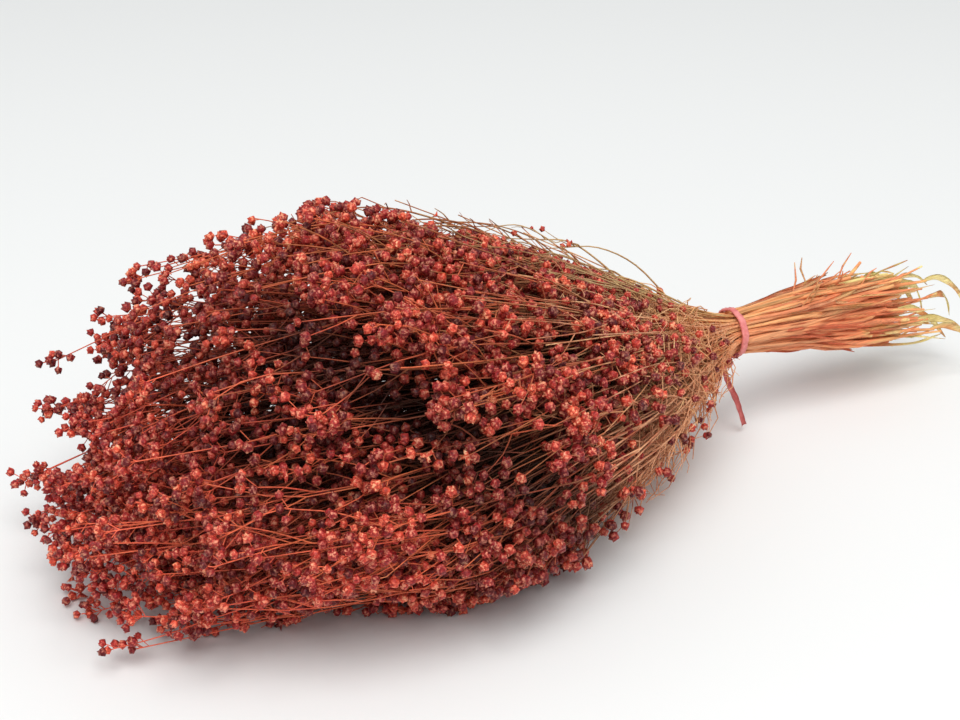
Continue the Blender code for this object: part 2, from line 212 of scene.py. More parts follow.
def placeInBunch(distance, u, v):
    # u and v place a stem on the bunch's disc: u from near to far, v from bottom to top, -1 to 1
    near, far, top, bottom, middle = sectionAt(distance)
    if v < 0:
        opened = np.interp(distance, (0.0, 0.12), (0.0, bunch["lowerSquaring"]))
        v = max(-1.0, v * (1.0 + opened * u * u))
        height = middle + v * (middle - bottom)
    else:
        height = middle + v * (top - middle)
    return Vector((-distance, u * (near if u < 0 else far), height))


def sprayPlan(index):
    draw = np.random.RandomState(bunch["seed"] + index)
    radius = math.sqrt((index + 0.5) / bunch["sprays"])
    angle = index * goldenAngle
    u, v = radius * math.cos(angle), radius * math.sin(angle)
    shortened = (index * bunch["shorteningStep"]) % 1.0
    if radius > bunch["outerSprays"]:
        lowNear = bunch["lowNearShare"] if u < 0 and v < 0.25 else 1.0
        shortened = bunch["outerShortening"] * shortened ** bunch["shorteningPower"] * lowNear
    else:
        shortened *= bunch["innerShortening"] * radius / bunch["outerSprays"]
    slanted = -bunch["reachLossTop"] * v if v > 0 else -bunch["reachGainLow"] * v
    reach = (bunch["headReach"] - bunch["reachLossFar"] * max(0.0, u) + slanted) * (1.0 - shortened)
    wispy = v > bunch["wispyFrom"] and bunch["wispyReach"][0] < reach < bunch["wispyReach"][1]
    leafy = index % 6 == 3
    shortCut, longCut = bunch["cutEndReach"]
    cut = longCut if leafy else draw.uniform(shortCut, longCut) - 0.004
    return {"draw": draw, "u": u, "v": v, "reach": reach, "wispy": wispy, "cut": cut, "leafy": leafy}


def stemPath(plan):
    draw = plan["draw"]
    stations = [-plan["cut"]]
    stations += [s for s in bunch["stations"] if s < plan["reach"] - 0.03]
    stations.append(plan["reach"])
    points = []
    for distance in stations:
        point = placeInBunch(distance, plan["u"], plan["v"])
        looseness = (0.022 if distance > 0 else 0.010) * max(0.0, abs(distance) - 0.02)
        wander = anyShift(draw) * min(0.004, looseness)
        point += wander * Vector((0.3, 1.0, 1.0))
        if plan["wispy"] and distance > 0:
            point.z += bunch["wispRise"] * math.sin(min(1.0, distance / 0.26) * math.pi * 0.6)
        point.z = max(point.z, coarse["stemRadius"] + bunch["tableGap"])
        points.append(point)
    return points


def clearStemPath(plan, taken, owner):
    for _ in range(bunch["tries"] * 2):
        path = stemPath(plan)
        gaps = (
            taken.leastGap(path, coarse["stemRadius"], owner),
            taken.leastGap(capsuleSpan(path), coarse["capsuleRadius"], owner),
        )
        if min(gaps) > coarse["stemClearance"]:
            return path
    raise ValueError("no clear way for " + owner)


def pointOn(points, share):
    runs = [(b - a).length for a, b in zip(points, points[1:])]
    left = share * sum(runs)
    for start, end, run in zip(points, points[1:], runs):
        if left <= run:
            return start.lerp(end, left / run), (end - start).normalized()
        left -= run
    return points[-1].copy(), (points[-1] - points[-2]).normalized()


def smoothPath(points, perRun):
    # a Catmull-Rom curve through the points
    points = [Vector(p) for p in points]
    padded = [points[0] * 2 - points[1]] + points + [points[-1] * 2 - points[-2]]
    smooth = []
    for k in range(1, len(padded) - 2):
        a, b, c, d = padded[k - 1:k + 3]
        for step in range(perRun):
            t = step / perRun
            smooth.append(0.5 * (
                2 * b + (c - a) * t + (2 * a - 5 * b + 4 * c - d) * t * t
                + (3 * b - a - 3 * c + d) * t ** 3
            ))
    smooth.append(points[-1])
    return smooth


def lengthOf(points):
    return sum((b - a).length for a, b in zip(points, points[1:]))


def leaning(direction, side, angle):
    return (direction * math.cos(angle) + side * math.sin(angle)).normalized()


def outFrom(point, height):
    # outwards from the bunch's middle line, taken at that height
    return (point - Vector((point.x, 0.0, height))).normalized()


def anyTurn(draw):
    return draw.uniform(0.0, 2.0 * math.pi)


def anyAngle(draw, limits):
    return math.radians(draw.uniform(*limits))


def anyShift(draw):
    return Vector(draw.uniform(-1.0, 1.0, 3))


class Taken:  # the space that the solids fill, as segments with an owner each
    def __init__(self):
        self.starts, self.ends, self.radii, self.owners = [], [], [], []

    def addTwig(self, points, radius, owner):
        # a twig and the capsule on its end
        self.add(points, radius, owner)
        self.add(capsuleSpan(points), coarse["capsuleRadius"], owner + " capsules")

    def add(self, points, radius, owner):
        for start, end in zip(points, points[1:]):
            self.starts.append(tuple(start))
            self.ends.append(tuple(end))
            self.radii.append(radius)
            self.owners.append(owner)

    def leastGap(self, points, radius, owner):
        others = np.array(self.owners) != owner
        if not others.any():
            return math.inf
        starts, ends = np.array(self.starts)[others], np.array(self.ends)[others]
        radii = np.array(self.radii)[others]
        least = math.inf
        for start, end in zip(points, points[1:]):
            near = segmentDistances(np.array(start), np.array(end), starts, ends)
            least = min(least, float((near - radii).min()) - radius)
        return least


def segmentDistances(start, end, starts, ends):
    along, others, offset = end - start, ends - starts, start - starts
    a, e = along @ along, (others * others).sum(1)
    b, c, f = others @ along, offset @ along, (others * offset).sum(1)
    spread = np.maximum(a * e - b * b, 1e-18)
    s = np.clip((b * f - c * e) / spread, 0.0, 1.0)
    t = np.clip((b * s + f) / e, 0.0, 1.0)
    s = np.clip((b * t - c) / a, 0.0, 1.0)
    between = (start + s[:, None] * along) - (starts + t[:, None] * others)
    return np.linalg.norm(between, axis=1)


def squareTo(direction):
    helper = Vector((0.0, 0.0, 1.0)) if abs(direction.z) < 0.9 else Vector((0.0, 1.0, 0.0))
    return direction.cross(helper).normalized()


def aside(direction, turn, outward, pull):
    # a way square to the direction, turned about it and pulled outwards
    first = squareTo(direction)
    second = direction.cross(first)
    chosen = first * math.cos(turn) + second * math.sin(turn) + outward * pull
    chosen -= direction * chosen.dot(direction)
    return chosen.normalized()


def twigPath(root, direction, side, angle, length):
    leaving = leaning(direction, side, angle)
    ending = (leaving + direction * 0.35).normalized()
    middle = root + leaving * length * 0.5
    end = middle + ending * length * 0.5
    middle.z = max(middle.z, coarse["branchRadius"] + bunch["tableGap"])
    end.z = max(end.z, coarse["capsuleRadius"] * 0.80)
    return [root, middle, end]


def capsuleAxis(path):
    return (path[-1] - path[-2]).normalized()


def capsuleSpan(path):
    axis = capsuleAxis(path)
    return [path[-1] - axis * 0.0005, path[-1] + axis * coarse["capsuleLength"] * 0.9]


def tryTwig(taken, owner, make, free):
    for _ in range(bunch["tries"]):
        path = make()
        if not (beforeEnd(path[-1]) and (free or inOutline(path[-1]))):
            continue
        if taken.leastGap(path, coarse["branchRadius"], owner) < coarse["clearance"]:
            continue
        if taken.leastGap(capsuleSpan(path), coarse["capsuleRadius"], owner) < coarse["clearance"]:
            continue
        return path
    return None


def sprayTwigs(name, plan, path, taken):
    draw = plan["draw"]
    count = coarse["branches"] - 1 if plan["wispy"] else coarse["branches"]
    first = 0.40 if plan["reach"] > 0.20 else 0.28
    tied = plan["cut"] / lengthOf(path)
    turn = anyTurn(draw)
    branches, pedicels = [], []
    for k in range(count):
        share = first + (0.93 - first) * (k + draw.uniform(0.0, 0.5)) / (count - 0.5)
        root, direction = pointOn(path, tied + (1.0 - tied) * share)
        outward = outFrom(root, bunch["headMiddle"] - 0.004)
        turn += goldenAngle

        def branch():
            side = aside(direction, turn + draw.uniform(-0.7, 0.7), outward, coarse["outwardPull"])
            angle = anyAngle(draw, coarse["branchAngle"])
            length = draw.uniform(*coarse["branchLength"]) * (1.0 - 0.35 * share)
            return twigPath(root, direction, side, angle, length)

        made = tryTwig(taken, name, branch, plan["wispy"])
        if made is None:
            continue
        taken.addTwig(made, coarse["branchRadius"], name)
        branches.append(made)
        joint, heading = pointOn(made, draw.uniform(0.50, 0.78))

        def pedicel():
            side = aside(heading, anyTurn(draw), outward, coarse["outwardPull"])
            length = draw.uniform(*coarse["pedicelLength"])
            angle = anyAngle(draw, coarse["pedicelAngle"])
            return twigPath(joint, heading, side, angle, length)[::2]

        made = tryTwig(taken, name, pedicel, plan["wispy"])
        if made is None:
            continue
        taken.addTwig(made, coarse["pedicelRadius"], name)
        pedicels.append(made)
    return branches, pedicels


def strawBladePath(plan, path, taken, owner):
    draw = plan["draw"]
    tip = path[0]
    along = (path[0] - path[1]).normalized()
    for _ in range(bunch["tries"]):
        drop = tip.z * draw.uniform(0.1, 0.9)
        sideways = draw.uniform(-0.014, 0.014)
        beyond = [
            tip - along * 0.004, tip + Vector((0.008, 0.0, 0.0)),
            tip + Vector((0.020, sideways * 0.5, -drop * 0.30)),
            tip + Vector((0.031, sideways, -drop)),
        ]
        if taken.leastGap(beyond, coarse["bladeHalfWidth"], owner) > coarse["clearance"]:
            return beyond
    return None


def addObject(name, data):
    made = bpy.data.objects.new(name, data)
    bpy.context.scene.collection.objects.link(made)
    return made


def meshFrom(bm, name):
    mesh = bpy.data.meshes.new(name)
    bm.to_mesh(mesh)
    bm.free()
    return mesh


# Camera

view = {
    "azimuth": -31.0,
    "elevation": 25.0,
    "lens": 65.6,
    "sensor": 36.0,
    "rightOfTie": -0.136,
    "backFromTie": 0.865,
    "height": 0.444,
}


def addCamera():
    azimuth = math.radians(view["azimuth"])
    right = Vector((math.cos(azimuth), math.sin(azimuth), 0.0))
    ahead = Vector((-math.sin(azimuth), math.cos(azimuth), 0.0))
    data = bpy.data.cameras.new("camera")
    data.lens = view["lens"]
    data.sensor_width = view["sensor"]
    data.clip_start = 0.02
    camera = addObject("camera", data)
    camera.location = tieAt + right * view["rightOfTie"] - ahead * view["backFromTie"]
    camera.location.z = view["height"]
    camera.rotation_euler = (math.radians(90.0 - view["elevation"]), 0.0, azimuth)
    bpy.context.scene.camera = camera


addCamera()


# Materials

def newMaterial(name, roughness, shine=0.35):
    made = bpy.data.materials.new(name)
    made.use_nodes = True
    shader = made.node_tree.nodes["Principled BSDF"]
    shader.inputs["Roughness"].default_value = roughness
    shader.inputs["Specular IOR Level"].default_value = shine
    return made, made.node_tree, shader


def addNode(tree, kind, **values):
    node = tree.nodes.new(kind)
    for name, value in values.items():
        if name in node.inputs:
            node.inputs[name].default_value = value
        else:
            setattr(node, name, value)
    return node


def feed(tree, source, socket):
    # a number, a colour or another node's output into a socket
    if isinstance(source, bpy.types.NodeSocket):
        tree.links.new(source, socket)
    else:
        socket.default_value = (*source, 1.0) if isinstance(source, tuple) else source


def noise(tree, scale, detail):
    # noise over the piece's own space, with a scale for each axis
    place = addNode(tree, "ShaderNodeTexCoord")
    mapping = addNode(tree, "ShaderNodeMapping", Scale=scale)
    node = addNode(tree, "ShaderNodeTexNoise", Scale=1.0, Detail=detail, Roughness=0.55)
    tree.links.new(place.outputs["Object"], mapping.inputs["Vector"])
    tree.links.new(mapping.outputs["Vector"], node.inputs["Vector"])
    return node.outputs["Fac"]


def ramp(tree, value, stops):
    node = addNode(tree, "ShaderNodeValToRGB")
    elements = node.color_ramp.elements
    while len(elements) < len(stops):
        elements.new(0.5)
    for element, (position, colour) in zip(elements, stops):
        element.position = position
        element.color = (*colour, 1.0)
    tree.links.new(value, node.inputs["Fac"])
    return node.outputs["Color"]


def mixColour(tree, share, first, second, blend="MIX"):
    node = addNode(tree, "ShaderNodeMix", data_type="RGBA", blend_type=blend)
    for source, socket in ((share, 0), (first, 6), (second, 7)):
        feed(tree, source, node.inputs[socket])
    return node.outputs[2]


def multiplied(tree, colour, by, share=1.0):
    return mixColour(tree, share, colour, by, "MULTIPLY")


def rescale(tree, value, low, high, outLow=0.0, outHigh=1.0):
    limits = {"From Min": low, "From Max": high, "To Min": outLow, "To Max": outHigh}
    node = addNode(tree, "ShaderNodeMapRange", **limits)
    tree.links.new(value, node.inputs["Value"])
    return node.outputs["Result"]


def maths(tree, operation, first, second):
    node = addNode(tree, "ShaderNodeMath", operation=operation)
    feed(tree, first, node.inputs[0])
    feed(tree, second, node.inputs[1])
    return node.outputs[0]


def addBump(tree, shader, height, strength, distance):
    node = addNode(tree, "ShaderNodeBump", Strength=strength, Distance=distance)
    tree.links.new(height, node.inputs["Height"])
    tree.links.new(node.outputs["Normal"], shader.inputs["Normal"])


def fromTie(tree, axis):
    # how far a point is from the tie's foot along one axis; X grows towards the cut ends
    place = addNode(tree, "ShaderNodeTexCoord")
    split = addNode(tree, "ShaderNodeSeparateXYZ")
    tree.links.new(place.outputs["Object"], split.inputs[0])
    return maths(tree, "SUBTRACT", split.outputs[axis], float(tieAt["XYZ".index(axis)]))


def attributeValue(tree, name):
    return addNode(tree, "ShaderNodeAttribute", attribute_name=name).outputs["Fac"]


# Painted shade: the heart of the head is painted darker than its skin, for the shade deep in it; how dark
# stems and capsules are painted in it and halfway out
paintedInsideShade = {"heart": 0.35, "skin": 0.88, "stem": (0.10, 0.50), "capsule": (0.12, 0.60)}


def paintedShadeInside(tree, colour, part):
    heart, skin = paintedInsideShade["heart"], paintedInsideShade["skin"]
    darkest, middle = paintedInsideShade[part]
    shades = ((heart, (darkest,) * 3), ((heart + skin) / 2, (middle,) * 3), (skin, (1.0, 1.0, 1.0)))
    return multiplied(tree, colour, ramp(tree, attributeValue(tree, "shell"), shades))


stemLook = {
    "alongHead": (
        (0.00, (0.780, 0.110, 0.060)),
        (0.20, (0.700, 0.130, 0.055)),
        # the darker stop at 0.40 is partly the stems' own colour and partly painted shade, darkening the
        # head about 0.17 m from the tie
        (0.40, (0.440, 0.125, 0.055)),
        (0.55, (0.790, 0.410, 0.225)),
        (0.72, (0.760, 0.330, 0.150)),
        (0.80, (0.780, 0.270, 0.125)),
        (0.90, (0.820, 0.290, 0.130)),
        (0.96, (0.820, 0.430, 0.170)),
        (1.00, (0.850, 0.620, 0.270)),
    ),
    "from": -0.38,
    "to": 0.15,
    "streaks": ((0.25, (0.42, 0.30, 0.26)), (0.50, (1.0, 0.95, 0.92)), (0.80, (1.5, 1.5, 1.4))),
    "roughness": 0.60,
}


def stemMaterial(name, tone):
    made, tree, shader = newMaterial(name, stemLook["roughness"])
    along = rescale(tree, fromTie(tree, "X"), stemLook["from"], stemLook["to"])
    patches = noise(tree, (9.0, 150.0, 150.0), 2.0)
    along = maths(tree, "ADD", along, rescale(tree, patches, 0.25, 0.75, -0.16, 0.16))
    colour = ramp(tree, along, stemLook["alongHead"])
    streaks = noise(tree, (60.0, 1400.0, 1400.0), 4.0)
    colour = multiplied(tree, colour, ramp(tree, streaks, stemLook["streaks"]), 0.75)
    colour = multiplied(tree, colour, tone)
    # painted shade: from 0.05 to 0.12 m into the head and beyond, the stems are painted darker towards
    # its heart and in the hollow; near the tie and at the cut ends they keep their colour
    headColourWithPaintedShade = paintedShadeInside(tree, colour, "stem")
    colour = mixColour(tree, rescale(tree, fromTie(tree, "X"), -0.12, -0.05), headColourWithPaintedShade, colour)
    tree.links.new(colour, shader.inputs["Base Color"])
    addBump(tree, shader, streaks, 0.5, 0.0003)
    return made


capsuleLook = {
    "dark": (0.130, 0.009, 0.014),
    "deep": (0.480, 0.029, 0.031),
    "bright": (0.860, 0.088, 0.046),
    "fleckAndHighlight": (1.000, 0.540, 0.320),
    "grain": ((0.34, (0.38, 0.34, 0.36)), (0.50, (0.92, 0.90, 0.90)), (0.68, (1.7, 1.7, 1.6))),
    "roughness": 0.40,
    "shine": 0.25,
}


def capsuleMaterial(name, tone):
    # maroon to crimson from one capsule to the next, flecked with peach towards the teeth, partly the
    # pale tips of the teeth and partly painted highlight, and painted darker in the creases
    made, tree, shader = newMaterial(name, capsuleLook["roughness"], capsuleLook["shine"])
    tint, rise, ridge = (attributeValue(tree, label) for label in ("tint", "rise", "ridge"))
    stops = ((0.0, capsuleLook["dark"]), (0.50, capsuleLook["deep"]), (1.0, capsuleLook["bright"]))
    grain = noise(tree, (700.0, 700.0, 700.0), 3.0)
    body = multiplied(tree, ramp(tree, tint, stops), ramp(tree, grain, capsuleLook["grain"]), 0.8)
    # peach flecks towards the teeth: partly the pale tips of the teeth, partly painted highlight
    flecksAndHighlights = rescale(tree, grain, 0.50, 0.60)
    fewer = ((rise, 0.20, 0.95, 0.25), (tint, 0.0, 1.0, 0.35), (ridge, 0.0, 1.0, 0.60))
    for value, low, high, least in fewer:
        flecksAndHighlights = maths(tree, "MULTIPLY", flecksAndHighlights, rescale(tree, value, low, high, least, 1.0))
    colour = mixColour(tree, flecksAndHighlights, body, capsuleLook["fleckAndHighlight"])
    # painted shade: darker in the creases between the lobes and at the hollow top and the stalk end
    colour = multiplied(tree, colour, rescale(tree, ridge, 0.0, 0.5, 0.60, 1.0))
    # painted shade: the capsules are painted darker towards the heart of the head and in the hollow
    colour = paintedShadeInside(tree, multiplied(tree, colour, tone), "capsule")
    tree.links.new(colour, shader.inputs["Base Color"])
    addBump(tree, shader, grain, 0.7, 0.0006)
    return made


strawLook = {
    "coral": (0.820, 0.260, 0.130),
    "orange": (0.860, 0.500, 0.200),
    "pale": (1.000, 0.900, 0.520),
    "green": (0.960, 0.820, 0.340),
    "turnsAt": (0.085, 0.125),
    "upperHeights": (0.054, 0.068),
    "fibres": ((0.30, (0.62, 0.55, 0.48)), (0.60, (1.1, 1.1, 1.1))),
    "roughness": 0.56,
}


def strawMaterial():
    # coral near the tie, pale green and straw towards the cut ends
    made, tree, shader = newMaterial("dry leaf", strawLook["roughness"])
    patches = noise(tree, (30.0, 90.0, 90.0), 2.0)
    stops = ((0.35, strawLook["orange"]), (0.48, strawLook["pale"]), (0.68, strawLook["green"]))
    along = rescale(tree, fromTie(tree, "X"), *strawLook["turnsAt"])
    above = rescale(tree, fromTie(tree, "Z"), *strawLook["upperHeights"], 0.0, 0.5)
    along = maths(tree, "ADD", along, above)
    along = maths(tree, "ADD", along, rescale(tree, patches, 0.3, 0.7, -0.3, 0.3))
    turned = rescale(tree, along, 0.2, 0.9)
    colour = mixColour(tree, turned, strawLook["coral"], ramp(tree, patches, stops))
    fibres = noise(tree, (80.0, 1500.0, 1500.0), 3.0)
    colour = multiplied(tree, colour, ramp(tree, fibres, strawLook["fibres"]), 0.6)
    tree.links.new(colour, shader.inputs["Base Color"])
    addBump(tree, shader, fibres, 0.6, 0.0004)
    return made


tieLook = {"light": (0.830, 0.290, 0.270), "dark": (0.650, 0.155, 0.150), "roughness": 0.50}


def tieMaterial():
    made, tree, shader = newMaterial("tie strip", tieLook["roughness"])
    folds = noise(tree, (300.0, 260.0, 260.0), 4.0)
    colour = ramp(tree, folds, ((0.30, tieLook["dark"]), (0.62, tieLook["light"])))
    tree.links.new(colour, shader.inputs["Base Color"])
    addBump(tree, shader, folds, 0.7, 0.0005)
    return made


# What multiplies the colour of the stems and of the capsules in each kind of spray
tones = {
    "crimson": ((1.0, 1.0, 1.0), (1.0, 1.0, 1.0)),
    "russet": ((1.10, 1.30, 1.20), (1.10, 1.30, 1.20)),
    "olive": ((0.76, 1.02, 0.88), (1.10, 1.30, 1.20)),
}
looks = {
    kind + "_spray": (stemMaterial(kind + " stem", ofStem), capsuleMaterial(kind + " capsule", ofCapsule))
    for kind, (ofStem, ofCapsule) in tones.items()
}
straw = strawMaterial()
tiePaper = tieMaterial()
print("materials made")


# Capsules: one toothed shape and one opened star, copied to the ends of the twigs

capsule = {
    "seedStep": 900,
    "radiusAlong": ((0.03, 0.12, 0.20, 0.30, 0.38), (0.0018, 0.0024, 0.0026, 0.0023, 0.0020)),
    "sizeSpread": (0.86, 1.14),
    "segments": 10,
    "rings": 3,
    "lobeDepth": 0.10,
    "upperRing": (0.20, 0.76),
    "lowerRing": (0.26, 1.05),
    "teethRise": 0.14,
    "hollowTop": 0.30,
    "unevenness": 0.10,
    "plainInside": 0.72,
    "variants": 5,
    "starShare": 0.018,
    "spacing": 0.0037,
}


def finishShape(bm, name, rise, ridge):
    # keeps how high and how far out each point is, for the colour to follow: painted highlight towards
    # the teeth, painted shade in the creases
    bmesh.ops.recalc_face_normals(bm, faces=bm.faces[:])
    mesh = meshFrom(bm, name)
    for label, values in (("rise", rise), ("ridge", ridge), ("tint", [0.5] * len(rise))):
        attribute = mesh.attributes.new(label, "FLOAT", "POINT")
        attribute.data.foreach_set("value", values)
    mesh.shade_smooth()
    for polygon in mesh.polygons:
        polygon.material_index = 1
    return mesh


def capsuleShape(variant, plain):
    # five lobes that end in blunt teeth round a hollow top; its stalk end is at the origin
    bm = bmesh.new()
    segments, rings = (6, 3) if plain else (capsule["segments"], capsule["rings"])
    bmesh.ops.create_uvsphere(bm, u_segments=segments, v_segments=rings, radius=1.0)
    draw = np.random.RandomState(bunch["seed"] + capsule["seedStep"] + variant)
    rise, ridge = [], []
    for vertex in bm.verts:
        height, belly = vertex.co.z, vertex.co.xy.length
        lobe = 0.0 if plain or belly < 0.05 else math.sin(5.0 * math.atan2(vertex.co.y, vertex.co.x))
        swell = 1.08 + capsule["lobeDepth"] * lobe
        if height > 0.4:
            lift, share = capsule["upperRing"]
            vertex.co.z += lift + capsule["teethRise"] * lobe if belly > 0.05 else -capsule["hollowTop"]
            swell *= share
        elif belly > 0.05:
            lift, share = capsule["lowerRing"]
            vertex.co.z += lift
            swell *= share
        vertex.co.x *= swell
        vertex.co.y *= swell
        vertex.co += anyShift(draw) * capsule["unevenness"]
        rise.append(0.5 + 0.5 * height)
        # the ends get a low value, so the hollow top and the stalk end are painted darker, as painted
        # shade
        ridge.append(0.5 + 0.5 * lobe if belly > 0.05 else 0.2)
    bmesh.ops.translate(bm, vec=(0.0, 0.0, 0.95), verts=bm.verts[:])
    return finishShape(bm, "capsule", rise, ridge)


def starShape():
    # an opened capsule: five pointed valves round a small floor
    bm = bmesh.new()
    bmesh.ops.create_circle(bm, cap_ends=True, segments=10, radius=0.45)
    floor = bm.faces[:]
    lower = bmesh.ops.extrude_face_region(bm, geom=floor)["geom"]
    lower = [item for item in lower if isinstance(item, bmesh.types.BMVert)]
    bmesh.ops.translate(bm, vec=(0, 0, -0.5), verts=lower)
    bmesh.ops.scale(bm, vec=(0.3, 0.3, 1.0), verts=lower)
    for vertex in bm.verts:
        if vertex.co.z > -0.1:
            pointed = math.cos(5.0 * math.atan2(vertex.co.y, vertex.co.x)) > 0
            vertex.co *= 3.2 if pointed else 1.1
            vertex.co.z = 0.75 if pointed else 0.1
    bmesh.ops.poke(bm, faces=floor)
    bmesh.ops.translate(bm, vec=(0.0, 0.0, 0.5), verts=bm.verts[:])
    rise = [min(1.0, 0.55 + 0.4 * vertex.co.z) for vertex in bm.verts]
    # the inner points get a lower value: a little painted shade on the star's floor
    ridge = [0.8 if vertex.co.xy.length > 0.9 else 0.45 for vertex in bm.verts]
    return finishShape(bm, "star", rise, ridge)


roundCapsules = [capsuleShape(variant, False) for variant in range(capsule["variants"])]
plainCapsules = [capsuleShape(variant, True) for variant in range(capsule["variants"])]
openCapsule = starShape()


class Crowd:  # where capsules already are, so that no two sit in one place
    def __init__(self, spacing):
        self.spacing, self.cells = spacing, {}

    def cell(self, point):
        return tuple(int(math.floor(value / self.spacing)) for value in point)

    def fits(self, point):
        x, y, z = self.cell(point)
        for dx in (-1, 0, 1):
            for dy in (-1, 0, 1):
                for dz in (-1, 0, 1):
                    for other in self.cells.get((x + dx, y + dy, z + dz), ()):
                        if (other - point).length < self.spacing:
                            return False
        return True

    def add(self, point):
        self.cells.setdefault(self.cell(point), []).append(point)


crowd = Crowd(capsule["spacing"])


def chooseShape(point, draw):
    # a plainer shape in the heart of the head, where it is hardly seen
    variant = draw.randint(capsule["variants"])
    if draw.uniform() < capsule["starShare"]:
        return openCapsule
    deep = shellAt(np.array((tuple(point),)))[0] < capsule["plainInside"]
    return (plainCapsules if deep else roundCapsules)[variant]


# Fine stems and twigs. Distances are from the tie, angles in degrees

fine = {
    "seedStep": 500,
    "companions": ((0.50, 6), (0.75, 6), (1.10, 4)),
    "lowNearCompanions": 9,
    "wispyCompanions": 3,
    "companionOffset": 0.085,
    "partInHead": 0.20,
    "partedAt": 0.20,
    "headWander": (0.026, 0.0075),
    "cutWander": (0.085, 0.0105),
    "longestCut": 0.134,
    "cutStations": (-0.118, -0.080, -0.040, -0.006),
    "stemRadius": 0.00068,
    "stemTipRadius": 0.00027,
    "thinFrom": 0.26,
    "swollenFrom": 0.05,
    "cutSwelling": 0.80,
    "withered": ((0.088, 0.125), (1.0, 0.42)),
    "branchRadius": 0.00034,
    "pedicelRadius": 0.00022,
    "pedicelLength": (0.0020, 0.0068),
    "pedicelAngle": (20.0, 66.0),
    "clusterLength": 0.0085,
    "tipCluster": 7,
    "sideCluster": 5,
    "wispyTipCluster": 4,
    "wispyCluster": 3,
    "clearOfTie": 0.022,
    "lowestBend": 0.0012,
    "lowestCapsule": 0.0022,
    "lowestTip": 0.0024,
    "outlineSpare": 0.002,
    "bareTop": ((0.04, 0.10, 0.17, 0.21), (0.008, 0.010, 0.007, 0.0)),
    "topRounding": 0.35,
    "topShortening": 0.75,
    "farNotch": ((0.036, 0.050, 0.080, 0.120), (0.0, 0.030, 0.030, 0.012)),
    "farShoulder": 0.018,
    "onTable": ((0.10, 0.16, 0.23, 0.27, 0.36, 0.40), (0.080, 0.088, 0.084, 0.058, 0.040, 0.028)),
    "onTableSlope": 1.25,
}

# Branches of a stem: their number, the share of the head where they leave it, their length in metres
# or as a share of what is left of the stem, and the number of side branches on each
longBranch = {
    "count": 3, "from": 0.14, "to": 0.56, "angle": (6.0, 20.0), "ofRest": (0.50, 0.88),
    "length": None, "pull": 0.55, "side": 1,
}
sideBranch = {
    "wispyCount": 5, "from": 0.42, "to": 0.94, "angle": (18.0, 52.0), "ofRest": None,
    "length": (0.014, 0.034), "pull": 0.70, "side": 0,
}
endBranch = {
    "count": 3, "lowCount": 5, "from": 0.66, "to": 0.95, "angle": (16.0, 44.0), "ofRest": None,
    "length": (0.018, 0.044), "pull": 0.75, "side": 0,
}

# The tangled twigs round the neck, and the bare ones that arch over its top
neckTwig = {
    "count": 6, "overTop": 3, "distance": (0.008, 0.115), "angle": (12.0, 66.0), "length": (0.022, 0.062),
    "forks": 3, "forkAngle": (22.0, 75.0), "forkLength": (0.008, 0.026), "radius": 0.00031,
    "steps": 5, "waver": 0.50, "outerFrom": 0.55, "clusters": (5, 4),
}
wisp = {
    "count": 14, "from": (0.025, 0.150), "across": (-0.25, 0.60), "run": (0.055, 0.125),
    "rise": (0.005, 0.014), "drift": (-0.35, 0.35), "highest": 0.012, "radius": 0.00040,
    "forks": 4, "forkAngle": (25.0, 80.0), "forkLength": (0.006, 0.020), "buds": 0.6, "budSize": 0.0015,
}


def stemCurve(name, resolution):
    data = bpy.data.curves.new(name, "CURVE")
    data.dimensions = "3D"
    data.bevel_depth = 1.0
    data.bevel_resolution = resolution
    data.use_fill_caps = True
    return data


def addSpline(data, points, radii):
    spline = data.splines.new("POLY")
    spline.points.add(len(points) - 1)
    for place, point, radius in zip(spline.points, points, radii):
        place.co = (*(tieAt + point), 1.0)
        place.radius = radius


def tapered(points, radius, thick, loss):
    # radii that fall evenly from the first point to the last
    last = len(points) - 1
    return [radius * (thick - loss * n / last) for n in range(last + 1)]


def scaled(radius, *shares):
    return [radius * share for share in shares]


def curveMesh(data):
    holder = addObject(data.name, data)
    graph = bpy.context.evaluated_depsgraph_get()
    mesh = bpy.data.meshes.new_from_object(holder.evaluated_get(graph))
    bpy.data.objects.remove(holder)
    bpy.data.curves.remove(data)
    mesh.shade_smooth()
    return mesh


# How full the clusters are: a factor by distance from the tie, by height, near the hollow and by depth
fullness = {
    "along": ((0.03, 0.08, 0.12, 0.15, 0.18, 0.29, 0.35), (0.06, 0.26, 0.75, 1.05, 1.05, 0.9, 1.25)),
    "lowAlong": ((0.08, 0.12, 0.14, 0.17, 0.23, 0.32, 0.36), (0.02, 0.12, 0.55, 0.75, 0.5, 0.7, 1.4)),
    "lowHeights": (0.070, 0.100),
    "hollowAlong": (0.12, 0.31),
    "hollowEdge": ((0.008, 0.024), (0.25, 1.0)),
    "farLowFrom": 0.30,
    "farLow": ((0.055, 0.075), (1.7, 1.0)),
    "depth": ((0.30, 0.66), (0.20, 1.0)),
}


def fullnessAt(point):
    distance, place = -point.x, np.array((tuple(point),))
    full = np.interp(distance, *fullness["along"])
    if point.y < 0.01:
        low = np.interp(distance, *fullness["lowAlong"])
        full *= np.interp(point.z, fullness["lowHeights"], (low, 1.0))
    first, last = fullness["hollowAlong"]
    if point.y < 0.0 and first < distance < last:
        full *= np.interp(abs(fromHollow(place)[0]), *fullness["hollowEdge"])
    if distance > fullness["farLowFrom"] and point.y > -0.03:
        full *= np.interp(point.z, *fullness["farLow"])
    return full * np.interp(float(shellAt(place)[0]), *fullness["depth"])


def shortestShare(u, v):
    # low companions are nearly as long as their spray's own stem, and those on top differ most
    if v < -0.1 and u > -0.4:
        return 0.92
    if v < 0.1 and u < 0.3:
        return 0.84
    return 0.64 if v > 0.4 else 0.78


